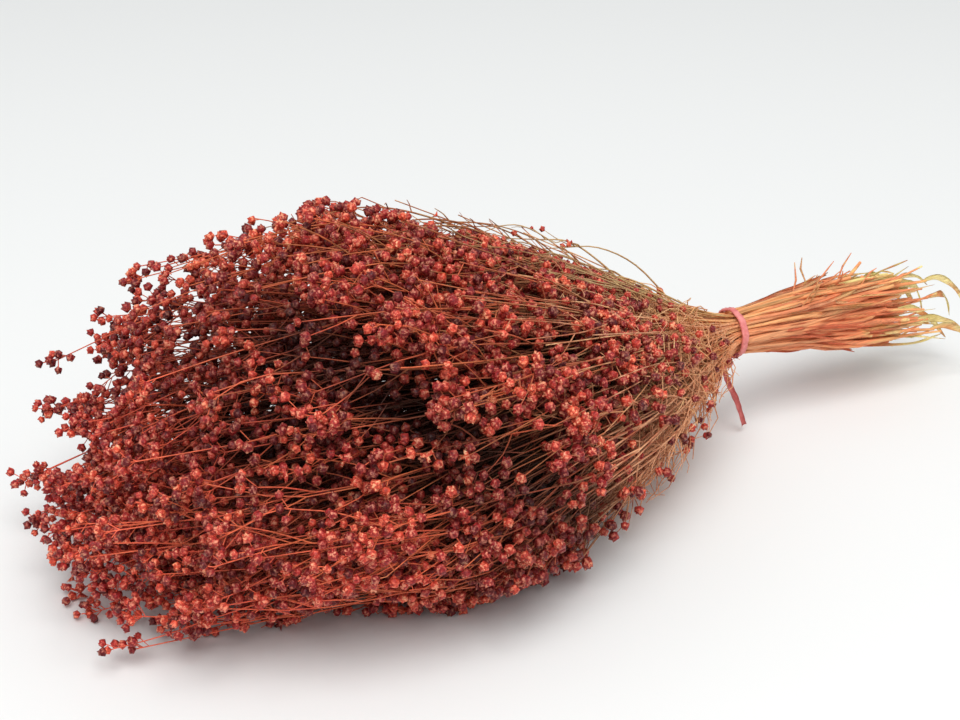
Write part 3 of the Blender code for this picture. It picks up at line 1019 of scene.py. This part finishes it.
def companionPath(plan, draw, k, count):
    # a stem tied beside the spray's own, which parts from it in the head
    turn = 2.0 * math.pi * (k + draw.uniform(0.0, 0.6)) / count
    offset = fine["companionOffset"] * draw.uniform(0.75, 1.25)
    part = fine["partInHead"] * draw.uniform(0.4, 1.2)
    partTurn = turn + draw.uniform(-0.6, 0.6)
    reach = plan["reach"] * draw.uniform(shortestShare(plan["u"], plan["v"]), 1.03)
    cut = plan["cut"] * (draw.uniform(0.55, 0.90) if draw.uniform() < 0.8 else draw.uniform(0.90, 1.05))
    cut = min(fine["longestCut"], cut)
    stations = [-cut] + [s for s in fine["cutStations"] if s > -cut + 0.012]
    stations += [s for s in bunch["stations"] if 0.0 < s < reach - 0.03] + [reach]
    points = []
    for distance in stations:
        parted = part * min(1.0, max(0.0, distance) / fine["partedAt"])
        u = plan["u"] + offset * math.cos(turn) + parted * math.cos(partTurn)
        v = plan["v"] + offset * math.sin(turn) + parted * math.sin(partTurn)
        size = math.hypot(u, v)
        widest = 1.04 if abs(distance) < 0.02 else 1.0
        if size > widest:
            u, v = u / size * widest, v / size * widest
        point = placeInBunch(distance, u, v)
        looseness, most = fine["headWander"] if distance > 0 else fine["cutWander"]
        wander = anyShift(draw) * min(most, looseness * max(0.0, abs(distance) - 0.014))
        point += wander * Vector((0.3, 1.0, 1.0))
        point.z = max(point.z, fine["stemRadius"] + bunch["tableGap"])
        points.append(point)
    for _ in range(12):
        if inHead(points[-1], False):
            break
        points[-1] = points[-2].lerp(points[-1], 0.85)
    return points


def capsuleSize(point, draw):
    return float(np.interp(-point.x, *capsule["radiusAlong"])) * draw.uniform(*capsule["sizeSpread"])


def capsuleMatrix(point, axis, size, draw):
    turn = Matrix.Rotation(anyTurn(draw), 4, "Z")
    facing = axis.to_track_quat("Z", "Y").to_matrix().to_4x4()
    return Matrix.Translation(tieAt + point) @ facing @ turn @ Matrix.Scale(size, 4)


def underTop(point):
    # over the neck only bare twigs reach the outline; the capsules stay lower
    _, _, top, _, middle = sectionAt(-point.x)
    if point.z < middle:
        return True
    lowered = np.interp(-point.x, *fine["bareTop"])
    rounding = fine["topRounding"] * abs(point.y) * (abs(point.y) / 0.11)
    return point.z < top + bunch["outlineMargin"] - lowered - rounding


def inHead(point, free):
    # inside the head's outline; a free twig may leave it, but not the box of the solids
    if point.z < fine["lowestCapsule"]:
        return False
    shortened, lowered = 0.0, 0.0
    if not free:
        shortened = fine["topShortening"] * max(0.0, point.z - 0.06)
    if not free and point.y > 0.0:
        shortened += np.interp(point.z, *fine["farNotch"]) * min(1.0, point.y / 0.03)
        farOut = np.interp(-point.x, (0.19, 0.25), (0.0, 1.0))
        lowered = fine["farShoulder"] * farOut * min(1.0, point.y / 0.04)
    if not beforeEnd(point, fine["outlineSpare"] - shortened):
        return False
    if not free and point.y < 0.0:
        widest = np.interp(-point.x, *fine["onTable"])
        if -point.y > widest + fine["onTableSlope"] * point.z:
            return False
    low, high = cadBox
    if any(not low[k] + 0.001 < tieAt[k] + point[k] < high[k] - 0.001 for k in range(3)):
        return False
    return free or inOutline(point + Vector((0.0, 0.0, lowered)), fine["outlineSpare"])


def bentTwig(root, direction, side, angle, length, draw):
    # leaves at an angle, bends back along the stem and wavers a little
    leaving = leaning(direction, side, angle)
    ending = (leaving + direction * 0.45 + Vector((0.0, 0.0, -0.03))).normalized()
    waver = anyShift(draw) * length * 0.035
    middle = root + leaving * length * 0.5 + waver
    end = middle + ending * length * 0.5
    middle.z, end.z = max(middle.z, fine["lowestBend"]), max(end.z, fine["lowestTip"])
    return [root, middle, end]


def addCluster(twigs, seeds, path, count, draw, free, atTip=True):
    # short stalks round a twig's outer end, each with a capsule on it
    count = int(round(count * fullnessAt(path[-1]) * draw.uniform(0.75, 1.25)))
    turn, whole = anyTurn(draw), lengthOf(path)
    reach = min(fine["clusterLength"], 0.6 * whole)
    for k in range(count + 1):
        if k == 0:
            if not atTip:
                continue
            end, axis = pointOn(path, 1.0)
            stalk = None
        else:
            share = 1.0 - reach / whole * ((k - 1) / count) * draw.uniform(0.6, 1.0)
            root, direction = pointOn(path, share)
            turn += goldenAngle
            side = aside(direction, turn, Vector((0.0, 0.0, 1.0)), 0.25)
            axis = leaning(direction, side, anyAngle(draw, fine["pedicelAngle"]))
            end = root + axis * draw.uniform(*fine["pedicelLength"])
            stalk = [root, end]
        size = capsuleSize(end, draw)
        end = end + Vector((0.0, 0.0, max(0.0, size - (end + axis * size).z)))
        middle = end + axis * size
        inPlace = -middle.x >= fine["clearOfTie"] and underTop(middle) and inHead(middle, free)
        if not inPlace or not crowd.fits(middle):
            continue
        crowd.add(middle)
        if stalk:
            stalk[1] = end
            addSpline(twigs, stalk, scaled(fine["pedicelRadius"], 1.0, 1.3))
        matrix = capsuleMatrix(end, axis, size, draw)
        seeds.append((matrix, draw.uniform(0.0, 1.0), chooseShape(middle, draw)))


def addBranches(twigs, seeds, path, headFrom, kind, count, draw, free, radius):
    # branches of one kind along a stem or along another branch, each with its cluster
    headLength = lengthOf(path) * (1.0 - headFrom)
    turn = anyTurn(draw)
    for k in range(count):
        share = kind["from"] + (kind["to"] - kind["from"]) * (k + draw.uniform(0.0, 0.9)) / count
        root, direction = pointOn(path, headFrom + (1.0 - headFrom) * share)
        outward = outFrom(root, bunch["headMiddle"])
        turn += goldenAngle
        for _ in range(4):
            side = aside(direction, turn + draw.uniform(-0.9, 0.9), outward, kind["pull"])
            angle = anyAngle(draw, kind["angle"])
            if kind["ofRest"]:
                length = headLength * (1.0 - share) * draw.uniform(*kind["ofRest"])
            else:
                length = draw.uniform(*kind["length"])
            branch = bentTwig(root, direction, side, angle, length, draw)
            if inHead(branch[2], free):
                break
        else:
            continue
        points = smoothPath(branch, 3 if length > 0.04 else 2)
        addSpline(twigs, points, tapered(points, radius, 1.15, 0.40))
        addCluster(twigs, seeds, points, fine["sideCluster"], draw, free)
        if kind["side"]:
            addBranches(twigs, seeds, points, 0.0, sideBranch, kind["side"], draw, free, radius * 0.8)


def tangledTwig(root, direction, side, angle, steps, step, draw):
    # a thin twig that turns a little at each joint
    heading = leaning(direction, side, angle)
    points = [root]
    for _ in range(steps):
        heading = (heading + anyShift(draw) * neckTwig["waver"] + direction * 0.12).normalized()
        points.append(points[-1] + heading * step * draw.uniform(0.7, 1.3))
        points[-1].z = max(points[-1].z, fine["lowestTip"])
    return points


def addNeckTwigs(twigs, seeds, path, headFrom, draw, count):
    # the neck's low near side gets a straighter curtain of them with fewer forks
    ofTwig, ofFork = neckTwig["clusters"]
    headLength = lengthOf(path) * (1.0 - headFrom)
    low, high = neckTwig["distance"]
    for _ in range(count):
        distance = low + (high - low) * draw.uniform(0.0, 1.0) ** 0.8
        root, direction = pointOn(path, headFrom + (1.0 - headFrom) * min(0.9, distance / headLength))
        outward = outFrom(root, bunch["tieHeight"])
        curtain = root.y < 0.0 and root.z < bunch["tieHeight"] + 0.01
        for _ in range(4):
            side = aside(direction, anyTurn(draw), outward, 1.0)
            angle = anyAngle(draw, neckTwig["angle"]) * (0.45 if curtain else 1.0)
            step = draw.uniform(*neckTwig["length"]) / neckTwig["steps"]
            points = tangledTwig(root, direction, side, angle, neckTwig["steps"], step, draw)
            if inHead(points[-1], False) and underTop(points[-1]):
                break
        else:
            continue
        radius = neckTwig["radius"] * draw.uniform(0.7, 1.2)
        addSpline(twigs, points, tapered(points, radius, 1.2, 0.6))
        addCluster(twigs, seeds, points, ofTwig, draw, False, draw.uniform() < 0.15)
        for _ in range(1 if curtain else neckTwig["forks"]):
            joint, heading = pointOn(points, draw.uniform(0.25, 0.9))
            side = aside(heading, anyTurn(draw), outward, 0.4)
            angle = anyAngle(draw, neckTwig["forkAngle"])
            step = draw.uniform(*neckTwig["forkLength"]) / 2
            fork = tangledTwig(joint, heading, side, angle, 2, step, draw)
            if not (inHead(fork[-1], False) and underTop(fork[-1])):
                continue
            addSpline(twigs, fork, scaled(radius, 0.8, 0.7, 0.5))
            addCluster(twigs, seeds, fork, ofFork, draw, False, draw.uniform() < 0.12)


def addWisps(twigs, seeds, draw):
    # they dip back in beyond the neck and carry a bud or a star here and there
    for _ in range(wisp["count"]):
        u, start, run, rise, drift = (
            draw.uniform(*wisp[key]) for key in ("across", "from", "run", "rise", "drift")
        )
        route = []
        for share in (0.0, 0.2, 0.4, 0.6, 0.8, 1.0):
            point = placeInBunch(start + run * share, u + drift * share, 0.92)
            point.z += rise * (math.sin(math.pi * share) + 0.35 * math.sin(2.0 * math.pi * share))
            route.append(point + anyShift(draw) * 0.0016)
        points = smoothPath(route, 4)
        radius = wisp["radius"] * draw.uniform(0.8, 1.2)
        addSpline(twigs, points, tapered(points, radius, 1.2, 0.7))
        for _ in range(wisp["forks"]):
            joint, heading = pointOn(points, draw.uniform(0.20, 0.98))
            side = aside(heading, anyTurn(draw), Vector((0.0, 0.0, 1.0)), 0.7)
            angle = anyAngle(draw, wisp["forkAngle"])
            step = draw.uniform(*wisp["forkLength"]) / 3
            fork = tangledTwig(joint, heading, side, angle, 3, step, draw)
            _, _, top, _, _ = sectionAt(-fork[-1].x)
            if not inHead(fork[-1], True) or fork[-1].z > top + wisp["highest"]:
                continue
            addSpline(twigs, fork, scaled(radius, 0.8, 0.7, 0.55, 0.4))
            tip, axis = pointOn(fork, 1.0)
            if draw.uniform() < wisp["buds"] and crowd.fits(tip):
                crowd.add(tip)
                size = wisp["budSize"] * draw.uniform(0.7, 1.4)
                shape = openCapsule if draw.uniform() < 0.3 else roundCapsules[0]
                seeds.append((capsuleMatrix(tip, axis, size, draw), draw.uniform(0.5, 1.0), shape))


def stemRadii(points, thick, main):
    # thickest at the cut end, a little thinner through the tie, thin at the tip
    radii = []
    for point in points:
        thinning = min(1.0, max(0.0, -point.x) / fine["thinFrom"])
        radius = thick + (fine["stemTipRadius"] - thick) * thinning ** 0.65
        swelling = min(1.0, max(0.0, point.x) / fine["swollenFrom"]) * fine["cutSwelling"]
        swelling *= 1.5 if main else 1.0
        radii.append(radius * (1.0 + swelling) * np.interp(point.x, *fine["withered"]))
    return radii


def stripFaces(bm, rings, rowAt):
    # a strip along the rings; rowAt gives each row's middle, side, half-width, curl and middle of curl
    last = len(rings) - 1
    faces, previous = [], None
    for k, point in enumerate(rings):
        direction = (rings[min(last, k + 1)] - rings[max(0, k - 1)]).normalized()
        middle, side, half, curl, base = rowAt(k, k / last, point, direction)
        up = side.cross(direction)
        row = [
            bm.verts.new(tieAt + middle + side * (half * across) + up * (curl * (across * across - base)))
            for across in (-1.0, -0.5, 0.0, 0.5, 1.0)
        ]
        if previous:
            faces += [bm.faces.new((previous[n], previous[n + 1], row[n + 1], row[n])) for n in range(4)]
        previous = row
    return faces


def addBlade(bm, path, half, roll, ragged):
    # a thin strip of dry leaf or bark, curled across its width and torn to a point
    def rowAt(k, along, point, direction):
        side = Matrix.Rotation(roll + 0.5 * along, 3, direction) @ squareTo(direction)
        width = half * min(1.0, 0.12 + 2.6 * along) * (1.0 - 0.85 * along ** 4)
        width *= 1.0 + ragged * math.sin(17.0 * along + 40.0 * half)
        return point, side, width, width * 0.5, 0.0

    faces = stripFaces(bm, smoothPath(path, 5), rowAt)
    for face in faces:
        face.material_index = 2
        face.smooth = True
    bmesh.ops.solidify(bm, geom=faces, thickness=bark["thickness"])


# What is at the cut ends: pale torn leaf, short broken twigs that stand up, and peeling bark
leafMass = {
    "spray": 33, "count": 8, "from": 0.086, "to": 0.148, "height": (0.053, 0.066), "across": 0.012,
    "halfWidth": (0.0018, 0.0042), "drop": (0.002, 0.014), "ragged": 0.18,
}
sprigs = {
    "seedStep": 800, "count": 6, "from": (0.030, 0.105), "heading": ((0.5, 1.2), (-0.4, 0.4), (0.3, 0.8)),
    "length": (0.016, 0.032), "radius": 0.00050,
}
bark = {
    "perSpray": 4, "length": (0.035, 0.100), "halfWidth": (0.0005, 0.0015), "drift": 0.012,
    "farthest": 0.150, "height": 0.053, "ragged": 0.15, "thickness": 0.00035,
}


def addLeafMass(bm, draw):
    # leaf strips that lie over the top of the cut ends and droop beyond them
    for _ in range(leafMass["count"]):
        y, z = draw.uniform(-1.0, 1.0) * leafMass["across"], draw.uniform(*leafMass["height"])
        drop, drift = draw.uniform(*leafMass["drop"]), draw.uniform(-0.006, 0.006)
        first = leafMass["from"] + draw.uniform(0.0, 0.024)
        last = leafMass["to"] - draw.uniform(0.0, 0.020)
        path = []
        for share in (0.0, 0.35, 0.7, 1.0):
            sag = drop * (share ** 3) - 0.004 * math.sin(math.pi * share)
            path.append(Vector((first + (last - first) * share, y + drift * share, z - sag)))
        half, roll = draw.uniform(*leafMass["halfWidth"]), draw.uniform(0.1, 0.9)
        addBlade(bm, path, half, roll, leafMass["ragged"])


def addSprigs(twigs, draw):
    for _ in range(sprigs["count"]):
        x = draw.uniform(*sprigs["from"])
        _, _, top, _, _ = sectionAt(-x)
        root = Vector((x, draw.uniform(-0.008, 0.008), float(top) - 0.004))
        heading = Vector([draw.uniform(*limits) for limits in sprigs["heading"]]).normalized()
        side, step = squareTo(heading), draw.uniform(*sprigs["length"]) / 3
        twig = tangledTwig(root, heading, side, 0.2, 3, step, draw)
        addSpline(twigs, twig, scaled(sprigs["radius"], 1.0, 0.8, 1.2, 0.5))
        fork = tangledTwig(twig[1], heading, side, 0.9, 2, 0.004, draw)
        addSpline(twigs, fork, scaled(sprigs["radius"], 0.8, 1.0, 0.4))


def barkPath(route, draw):
    # a strip that peels off a stem beyond the tie and lies loosely beside it
    start = draw.uniform(0.008, max(0.012, route[0].x - 0.050))
    length = draw.uniform(*bark["length"])
    points = []
    for k in range(4):
        x = min(bark["farthest"], start + length * k / 3)
        near = Vector((x, route[0].y, route[0].z))
        for a, b in zip(route, route[1:]):
            if b.x <= x <= a.x:
                near = a.lerp(b, (a.x - x) / (a.x - b.x))
        out = (near - Vector((x, 0.0, bark["height"]))).normalized()
        lift = 0.0012 + 0.0045 * (k / 3) ** 2 * draw.uniform(0.2, 1.0)
        aslant = Vector((0.0, 1.0, 0.0)) * bark["drift"] * draw.uniform(-0.4, 0.4) * k / 3
        points.append(near + out * lift + aslant)
    return points


def scatterCapsules(bm, seeds):
    # one copy of a capsule shape for each place, with its own tint
    for matrix, tint, original in seeds:
        shape = original.copy()
        shape.transform(matrix)
        shape.attributes["tint"].data.foreach_set("value", [tint] * len(shape.vertices))
        bm.from_mesh(shape)
        bpy.data.meshes.remove(shape)


def slotOf(index, wispy):
    return "olive_spray" if wispy else ("russet_spray" if index % 5 == 2 else "crimson_spray")


def companionCount(plan):
    disc = math.hypot(plan["u"], plan["v"])
    if disc > 0.5 and plan["v"] < 0.0 and plan["u"] < 0.6:
        return fine["lowNearCompanions"]
    return next(count for radius, count in fine["companions"] if disc < radius)


def growCoarseTwigs(twigs, seeds, branches, pedicels, draw, wispy):
    # the solid's own twigs, finer, with their clusters
    for branch in branches:
        if inHead(branch[-1], wispy):
            bent = smoothPath(branch, 3)
            addSpline(twigs, bent, [fine["branchRadius"] * 1.1] * len(bent))
            addCluster(twigs, seeds, bent, fine["wispyCluster" if wispy else "sideCluster"], draw, wispy)
    for pedicel in pedicels:
        if inHead(pedicel[-1], wispy):
            addSpline(twigs, pedicel, [fine["pedicelRadius"]] * 2)
            addCluster(twigs, seeds, pedicel, 1, draw, wispy)


def growStem(twigs, seeds, plan, smooth, headFrom, draw, own):
    # what grows from one stem of a spray; the wispy spray's own stem carries the bare arching twigs
    radius = fine["branchRadius"]
    if own and plan["wispy"]:
        addCluster(twigs, seeds, smooth[-5:], fine["wispyTipCluster"], draw, True)
        few = sideBranch["wispyCount"]
        addBranches(twigs, seeds, smooth, headFrom, sideBranch, few, draw, True, radius * 0.8)
        addWisps(twigs, seeds, draw)
        addSprigs(twigs, draw)
        return
    addCluster(twigs, seeds, smooth[-5:], fine["tipCluster"], draw, own)
    count, endCount = longBranch["count"], endBranch["lowCount" if plan["v"] < -0.3 else "count"]
    addBranches(twigs, seeds, smooth, headFrom, longBranch, count, draw, False, radius * 1.1)
    addBranches(twigs, seeds, smooth, headFrom, endBranch, endCount, draw, False, radius)
    if math.hypot(plan["u"], plan["v"]) > neckTwig["outerFrom"]:
        more = neckTwig["overTop"] if plan["v"] > 0.25 else 0
        addNeckTwigs(twigs, seeds, smooth, headFrom, draw, neckTwig["count"] + more)


def finePiece(index, name, plan, path, branches, pedicels, blade):
    draw = np.random.RandomState(bunch["seed"] + fine["seedStep"] + index)
    wispy = plan["wispy"]
    stems, twigs, seeds = stemCurve(name + "_stems", 1), stemCurve(name + "_twigs", 0), []
    thick = fine["stemRadius"] * (0.6 if wispy else 1.0)
    count = fine["wispyCompanions"] if wispy else companionCount(plan)
    paths = [path] + [companionPath(plan, draw, k, count) for k in range(count)]
    for number, route in enumerate(paths):
        own = number == 0
        smooth = smoothPath(route, 3)
        addSpline(stems, smooth, stemRadii(smooth, thick * draw.uniform(0.85, 1.15), own))
        if own:
            growCoarseTwigs(twigs, seeds, branches, pedicels, draw, wispy)
        growStem(twigs, seeds, plan, smooth, route[0].x / lengthOf(smooth), draw, own)
    if index == leafMass["spray"]:
        addSprigs(twigs, np.random.RandomState(bunch["seed"] + sprigs["seedStep"]))
    bm = bmesh.new()
    for data in (stems, twigs):
        mesh = curveMesh(data)
        bm.from_mesh(mesh)
        bpy.data.meshes.remove(mesh)
    if blade:
        addBlade(bm, blade, coarse["bladeHalfWidth"] * 0.85, 0.5, 0.16)
    if index == leafMass["spray"]:
        addLeafMass(bm, draw)
    for _ in range(0 if wispy else bark["perSpray"]):
        strip = barkPath(paths[draw.randint(len(paths))], draw)
        half, roll = draw.uniform(*bark["halfWidth"]), draw.uniform(-0.2, 1.1)
        addBlade(bm, strip, half, roll, bark["ragged"])
    scatterCapsules(bm, seeds)
    slot = slotOf(index, wispy)
    mesh = meshFrom(bm, name)
    places = np.empty(len(mesh.vertices) * 3)
    mesh.vertices.foreach_get("co", places)
    places[2::3] = np.maximum(places[2::3], bunch["tableGap"] / 2)
    mesh.vertices.foreach_set("co", places)
    # the shell attribute holds the head's depth, lowered where painted shade darkens the hollow and the
    # lower near side; the materials paint shade from it
    shell = mesh.attributes.new("shell", "FLOAT", "POINT")
    shell.data.foreach_set("value", shadeAt(places.reshape(-1, 3) - np.array(tieAt)))
    for look in (*looks[slot], straw):
        mesh.materials.append(look)
    piece = addObject(name, mesh)
    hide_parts("spray_%02d" % (index + 1))
    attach(piece, "root")
    mesh.calc_loop_triangles()
    return len(seeds), len(mesh.loop_triangles)


# The tie, which the sprays keep clear of. Its loose end keeps to its solid's route; the knot is of
# three rounded strands, each with its points, its steps between points and its radii
tie = {
    "tailRoute": (
        (-0.0062, -0.0042, 0.0372), (-0.0050, -0.0064, 0.0320), (-0.0025, -0.0085, 0.0240),
        (0.0005, -0.0100, 0.0140), (0.0045, -0.0110, 0.0045),
    ),
    "tailWidth": 0.0040,
    "tailThickness": 0.0007,
    "tailFaces": (-0.45, -0.80, 0.40),
    "tailTwist": 0.55,
    "tailWave": 0.0008,
    "tailCurl": 0.0012,
    "bandWidth": 0.0042,
    "bandThickness": 0.0014,
    "bandInner": 0.0124,
    "crinkle": ((0.00022, 9, 1.0), (0.00016, 23, 0.0)),
    "solidKnot": ((-0.0030, -0.0010, 0.0405), (0.0020, 0.0020, 0.0405)),
    "solidKnotRadius": 0.0028,
    "knot": (
        (
            ((-0.0040, -0.0030, 0.0398), (-0.0020, -0.0010, 0.0390), (0.0010, 0.0014, 0.0396),
             (0.0022, 0.0026, 0.0420)),
            4, (0.0013,) * 3 + (0.0018,) * 7 + (0.0013,) * 3,
        ),
        (
            ((-0.0006, -0.0030, 0.0412), (-0.0014, -0.0026, 0.0384), (-0.0016, 0.0002, 0.0372),
             (-0.0010, 0.0026, 0.0390), (-0.0004, 0.0028, 0.0415)),
            4, (0.0010,) * 17,
        ),
        (
            ((-0.0030, -0.0012, 0.0405), (-0.0050, -0.0028, 0.0392), (-0.0062, -0.0042, 0.0372),
             (-0.0059, -0.0050, 0.0352)),
            3, (0.0012,) * 7 + (0.0010,) * 3,
        ),
    ),
}


def buildSprays():
    taken = Taken()
    taken.add([Vector(p) for p in tie["tailRoute"]], tie["tailWidth"] / 2, "tie")
    taken.add([Vector(p) for p in tie["solidKnot"]], tie["solidKnotRadius"], "tie")
    plans = [sprayPlan(index) for index in range(bunch["sprays"])]
    names = ["spray_%02d" % (index + 1) for index in range(bunch["sprays"])]
    paths = []
    for name, plan in zip(names, plans):
        path = clearStemPath(plan, taken, name)
        taken.addTwig(path, coarse["stemRadius"], name)
        paths.append(path)
    capsules = triangles = 0
    for index, (name, plan, path) in enumerate(zip(names, plans, paths)):
        branches, pedicels = sprayTwigs(name, plan, path, taken)
        blade = None
        if plan["leafy"]:
            blade = strawBladePath(plan, path, taken, name)
            if blade:
                taken.add(blade, coarse["bladeHalfWidth"], name)
        made = finePiece(index, "fine_" + name, plan, path, branches, pedicels, blade)
        capsules, triangles = capsules + made[0], triangles + made[1]
    print("sprays made:", capsules, "capsules,", triangles, "triangles")


buildSprays()


# The tie

def tiePiece(bm, name):
    mesh = meshFrom(bm, name)
    mesh.shade_smooth()
    mesh.materials.append(tiePaper)
    return addObject(name, mesh)


def tailBlade():
    # the strip hangs in front of the neck, its flat side to the near left, with a slight twist
    def rowAt(k, along, point, direction):
        side = direction.cross(Vector(tie["tailFaces"])).normalized()
        side = Matrix.Rotation(tie["tailTwist"] * math.sin(5.0 * along + 0.6), 3, direction) @ side
        half = tie["tailWidth"] / 2 * (0.76 + 0.14 * along + 0.08 * math.sin(k * 1.9))
        middle = point + side * (tie["tailWave"] * math.sin(7.0 * along) * along)
        return middle, side, half, tie["tailCurl"], 0.5

    rings = smoothPath(tie["tailRoute"], 5)
    bm = bmesh.new()
    bmesh.ops.solidify(bm, geom=stripFaces(bm, rings, rowAt), thickness=tie["tailThickness"])
    bmesh.ops.recalc_face_normals(bm, faces=bm.faces[:])
    tail = tiePiece(bm, "tie_loose_end")
    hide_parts("tie_tail")
    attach(tail, "root")


def tieRing():
    # the flat strip wound round the neck, crinkled, and its knot below
    bm = bmesh.new()
    half, thick, inner = tie["bandWidth"] / 2, tie["bandThickness"], tie["bandInner"]
    corners = [
        bm.verts.new((along, 0.0, bunch["tieHeight"] + inner + out)) for along, out in (
            (-half, 0.0), (-half * 1.02, thick * 0.55), (-half * 0.55, thick), (half * 0.1, thick * 0.86),
            (half * 0.6, thick * 1.05), (half * 1.02, thick * 0.5), (half, 0.0),
        )
    ]
    edges = [bm.edges.new((corners[k], corners[(k + 1) % len(corners)])) for k in range(len(corners))]
    bmesh.ops.spin(
        bm, geom=corners + edges, cent=(0, 0, bunch["tieHeight"]), axis=(1, 0, 0),
        angle=2 * math.pi, steps=72, use_merge=True,
    )
    bmesh.ops.remove_doubles(bm, verts=bm.verts[:], dist=1e-6)
    for vertex in bm.verts:
        angle = math.atan2(vertex.co.y, vertex.co.z - bunch["tieHeight"])
        crinkle = sum(size * math.sin(waves * angle + shift) for size, waves, shift in tie["crinkle"])
        narrowing = 1.0 - 0.22 * (0.5 + 0.5 * math.sin(2 * angle + 0.8))
        vertex.co.x = vertex.co.x * narrowing + 0.0007 * math.sin(angle + 0.9)
        outwards = Vector((0.0, vertex.co.y, vertex.co.z - bunch["tieHeight"])).normalized()
        vertex.co += outwards * crinkle
    bmesh.ops.translate(bm, vec=tieAt, verts=bm.verts[:])
    bmesh.ops.recalc_face_normals(bm, faces=bm.faces[:])
    knots = stemCurve("tie_knot", 2)
    for route, perRun, radii in tie["knot"]:
        addSpline(knots, smoothPath(route, perRun), radii)
    bm.from_mesh(curveMesh(knots))
    ring = tiePiece(bm, "tie_ring")
    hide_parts("tie_band")
    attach(ring, "root")


tieRing()
tailBlade()
print("tie made")


# Floor and light

light = {
    "floorSize": 12.0,
    "floor": (0.855, 0.866, 0.853),
    "world": (0.97, 0.98, 1.0),
    "worldStrength": 0.55,
    "topEnergy": 99.0,
    "topSize": 2.6,
    "topPlace": (-0.95, -1.40, 3.00),
    "topAim": (-0.16, 0.0, 0.05),
}


def addFloor():
    bm = bmesh.new()
    bmesh.ops.create_grid(bm, x_segments=1, y_segments=1, size=light["floorSize"])
    mesh = meshFrom(bm, "floor")
    made, _, shader = newMaterial("floor", 0.9)
    shader.inputs["Base Color"].default_value = (*light["floor"], 1.0)
    mesh.materials.append(made)
    floor = addObject("floor", mesh)


def addLights():
    world = bpy.data.worlds.new("studio")
    world.use_nodes = True
    back = world.node_tree.nodes["Background"]
    back.inputs["Color"].default_value = (*light["world"], 1.0)
    back.inputs["Strength"].default_value = light["worldStrength"]
    bpy.context.scene.world = world
    data = bpy.data.lights.new("top light", "AREA")
    data.energy = light["topEnergy"]
    data.size = light["topSize"]
    lamp = addObject("top light", data)
    lamp.location = tieAt + Vector(light["topPlace"])
    aim = tieAt + Vector(light["topAim"]) - lamp.location
    lamp.rotation_euler = aim.to_track_quat("-Z", "Y").to_euler()


addFloor()
addLights()
bpy.context.scene.view_settings.view_transform = "Standard"
print("stage made")
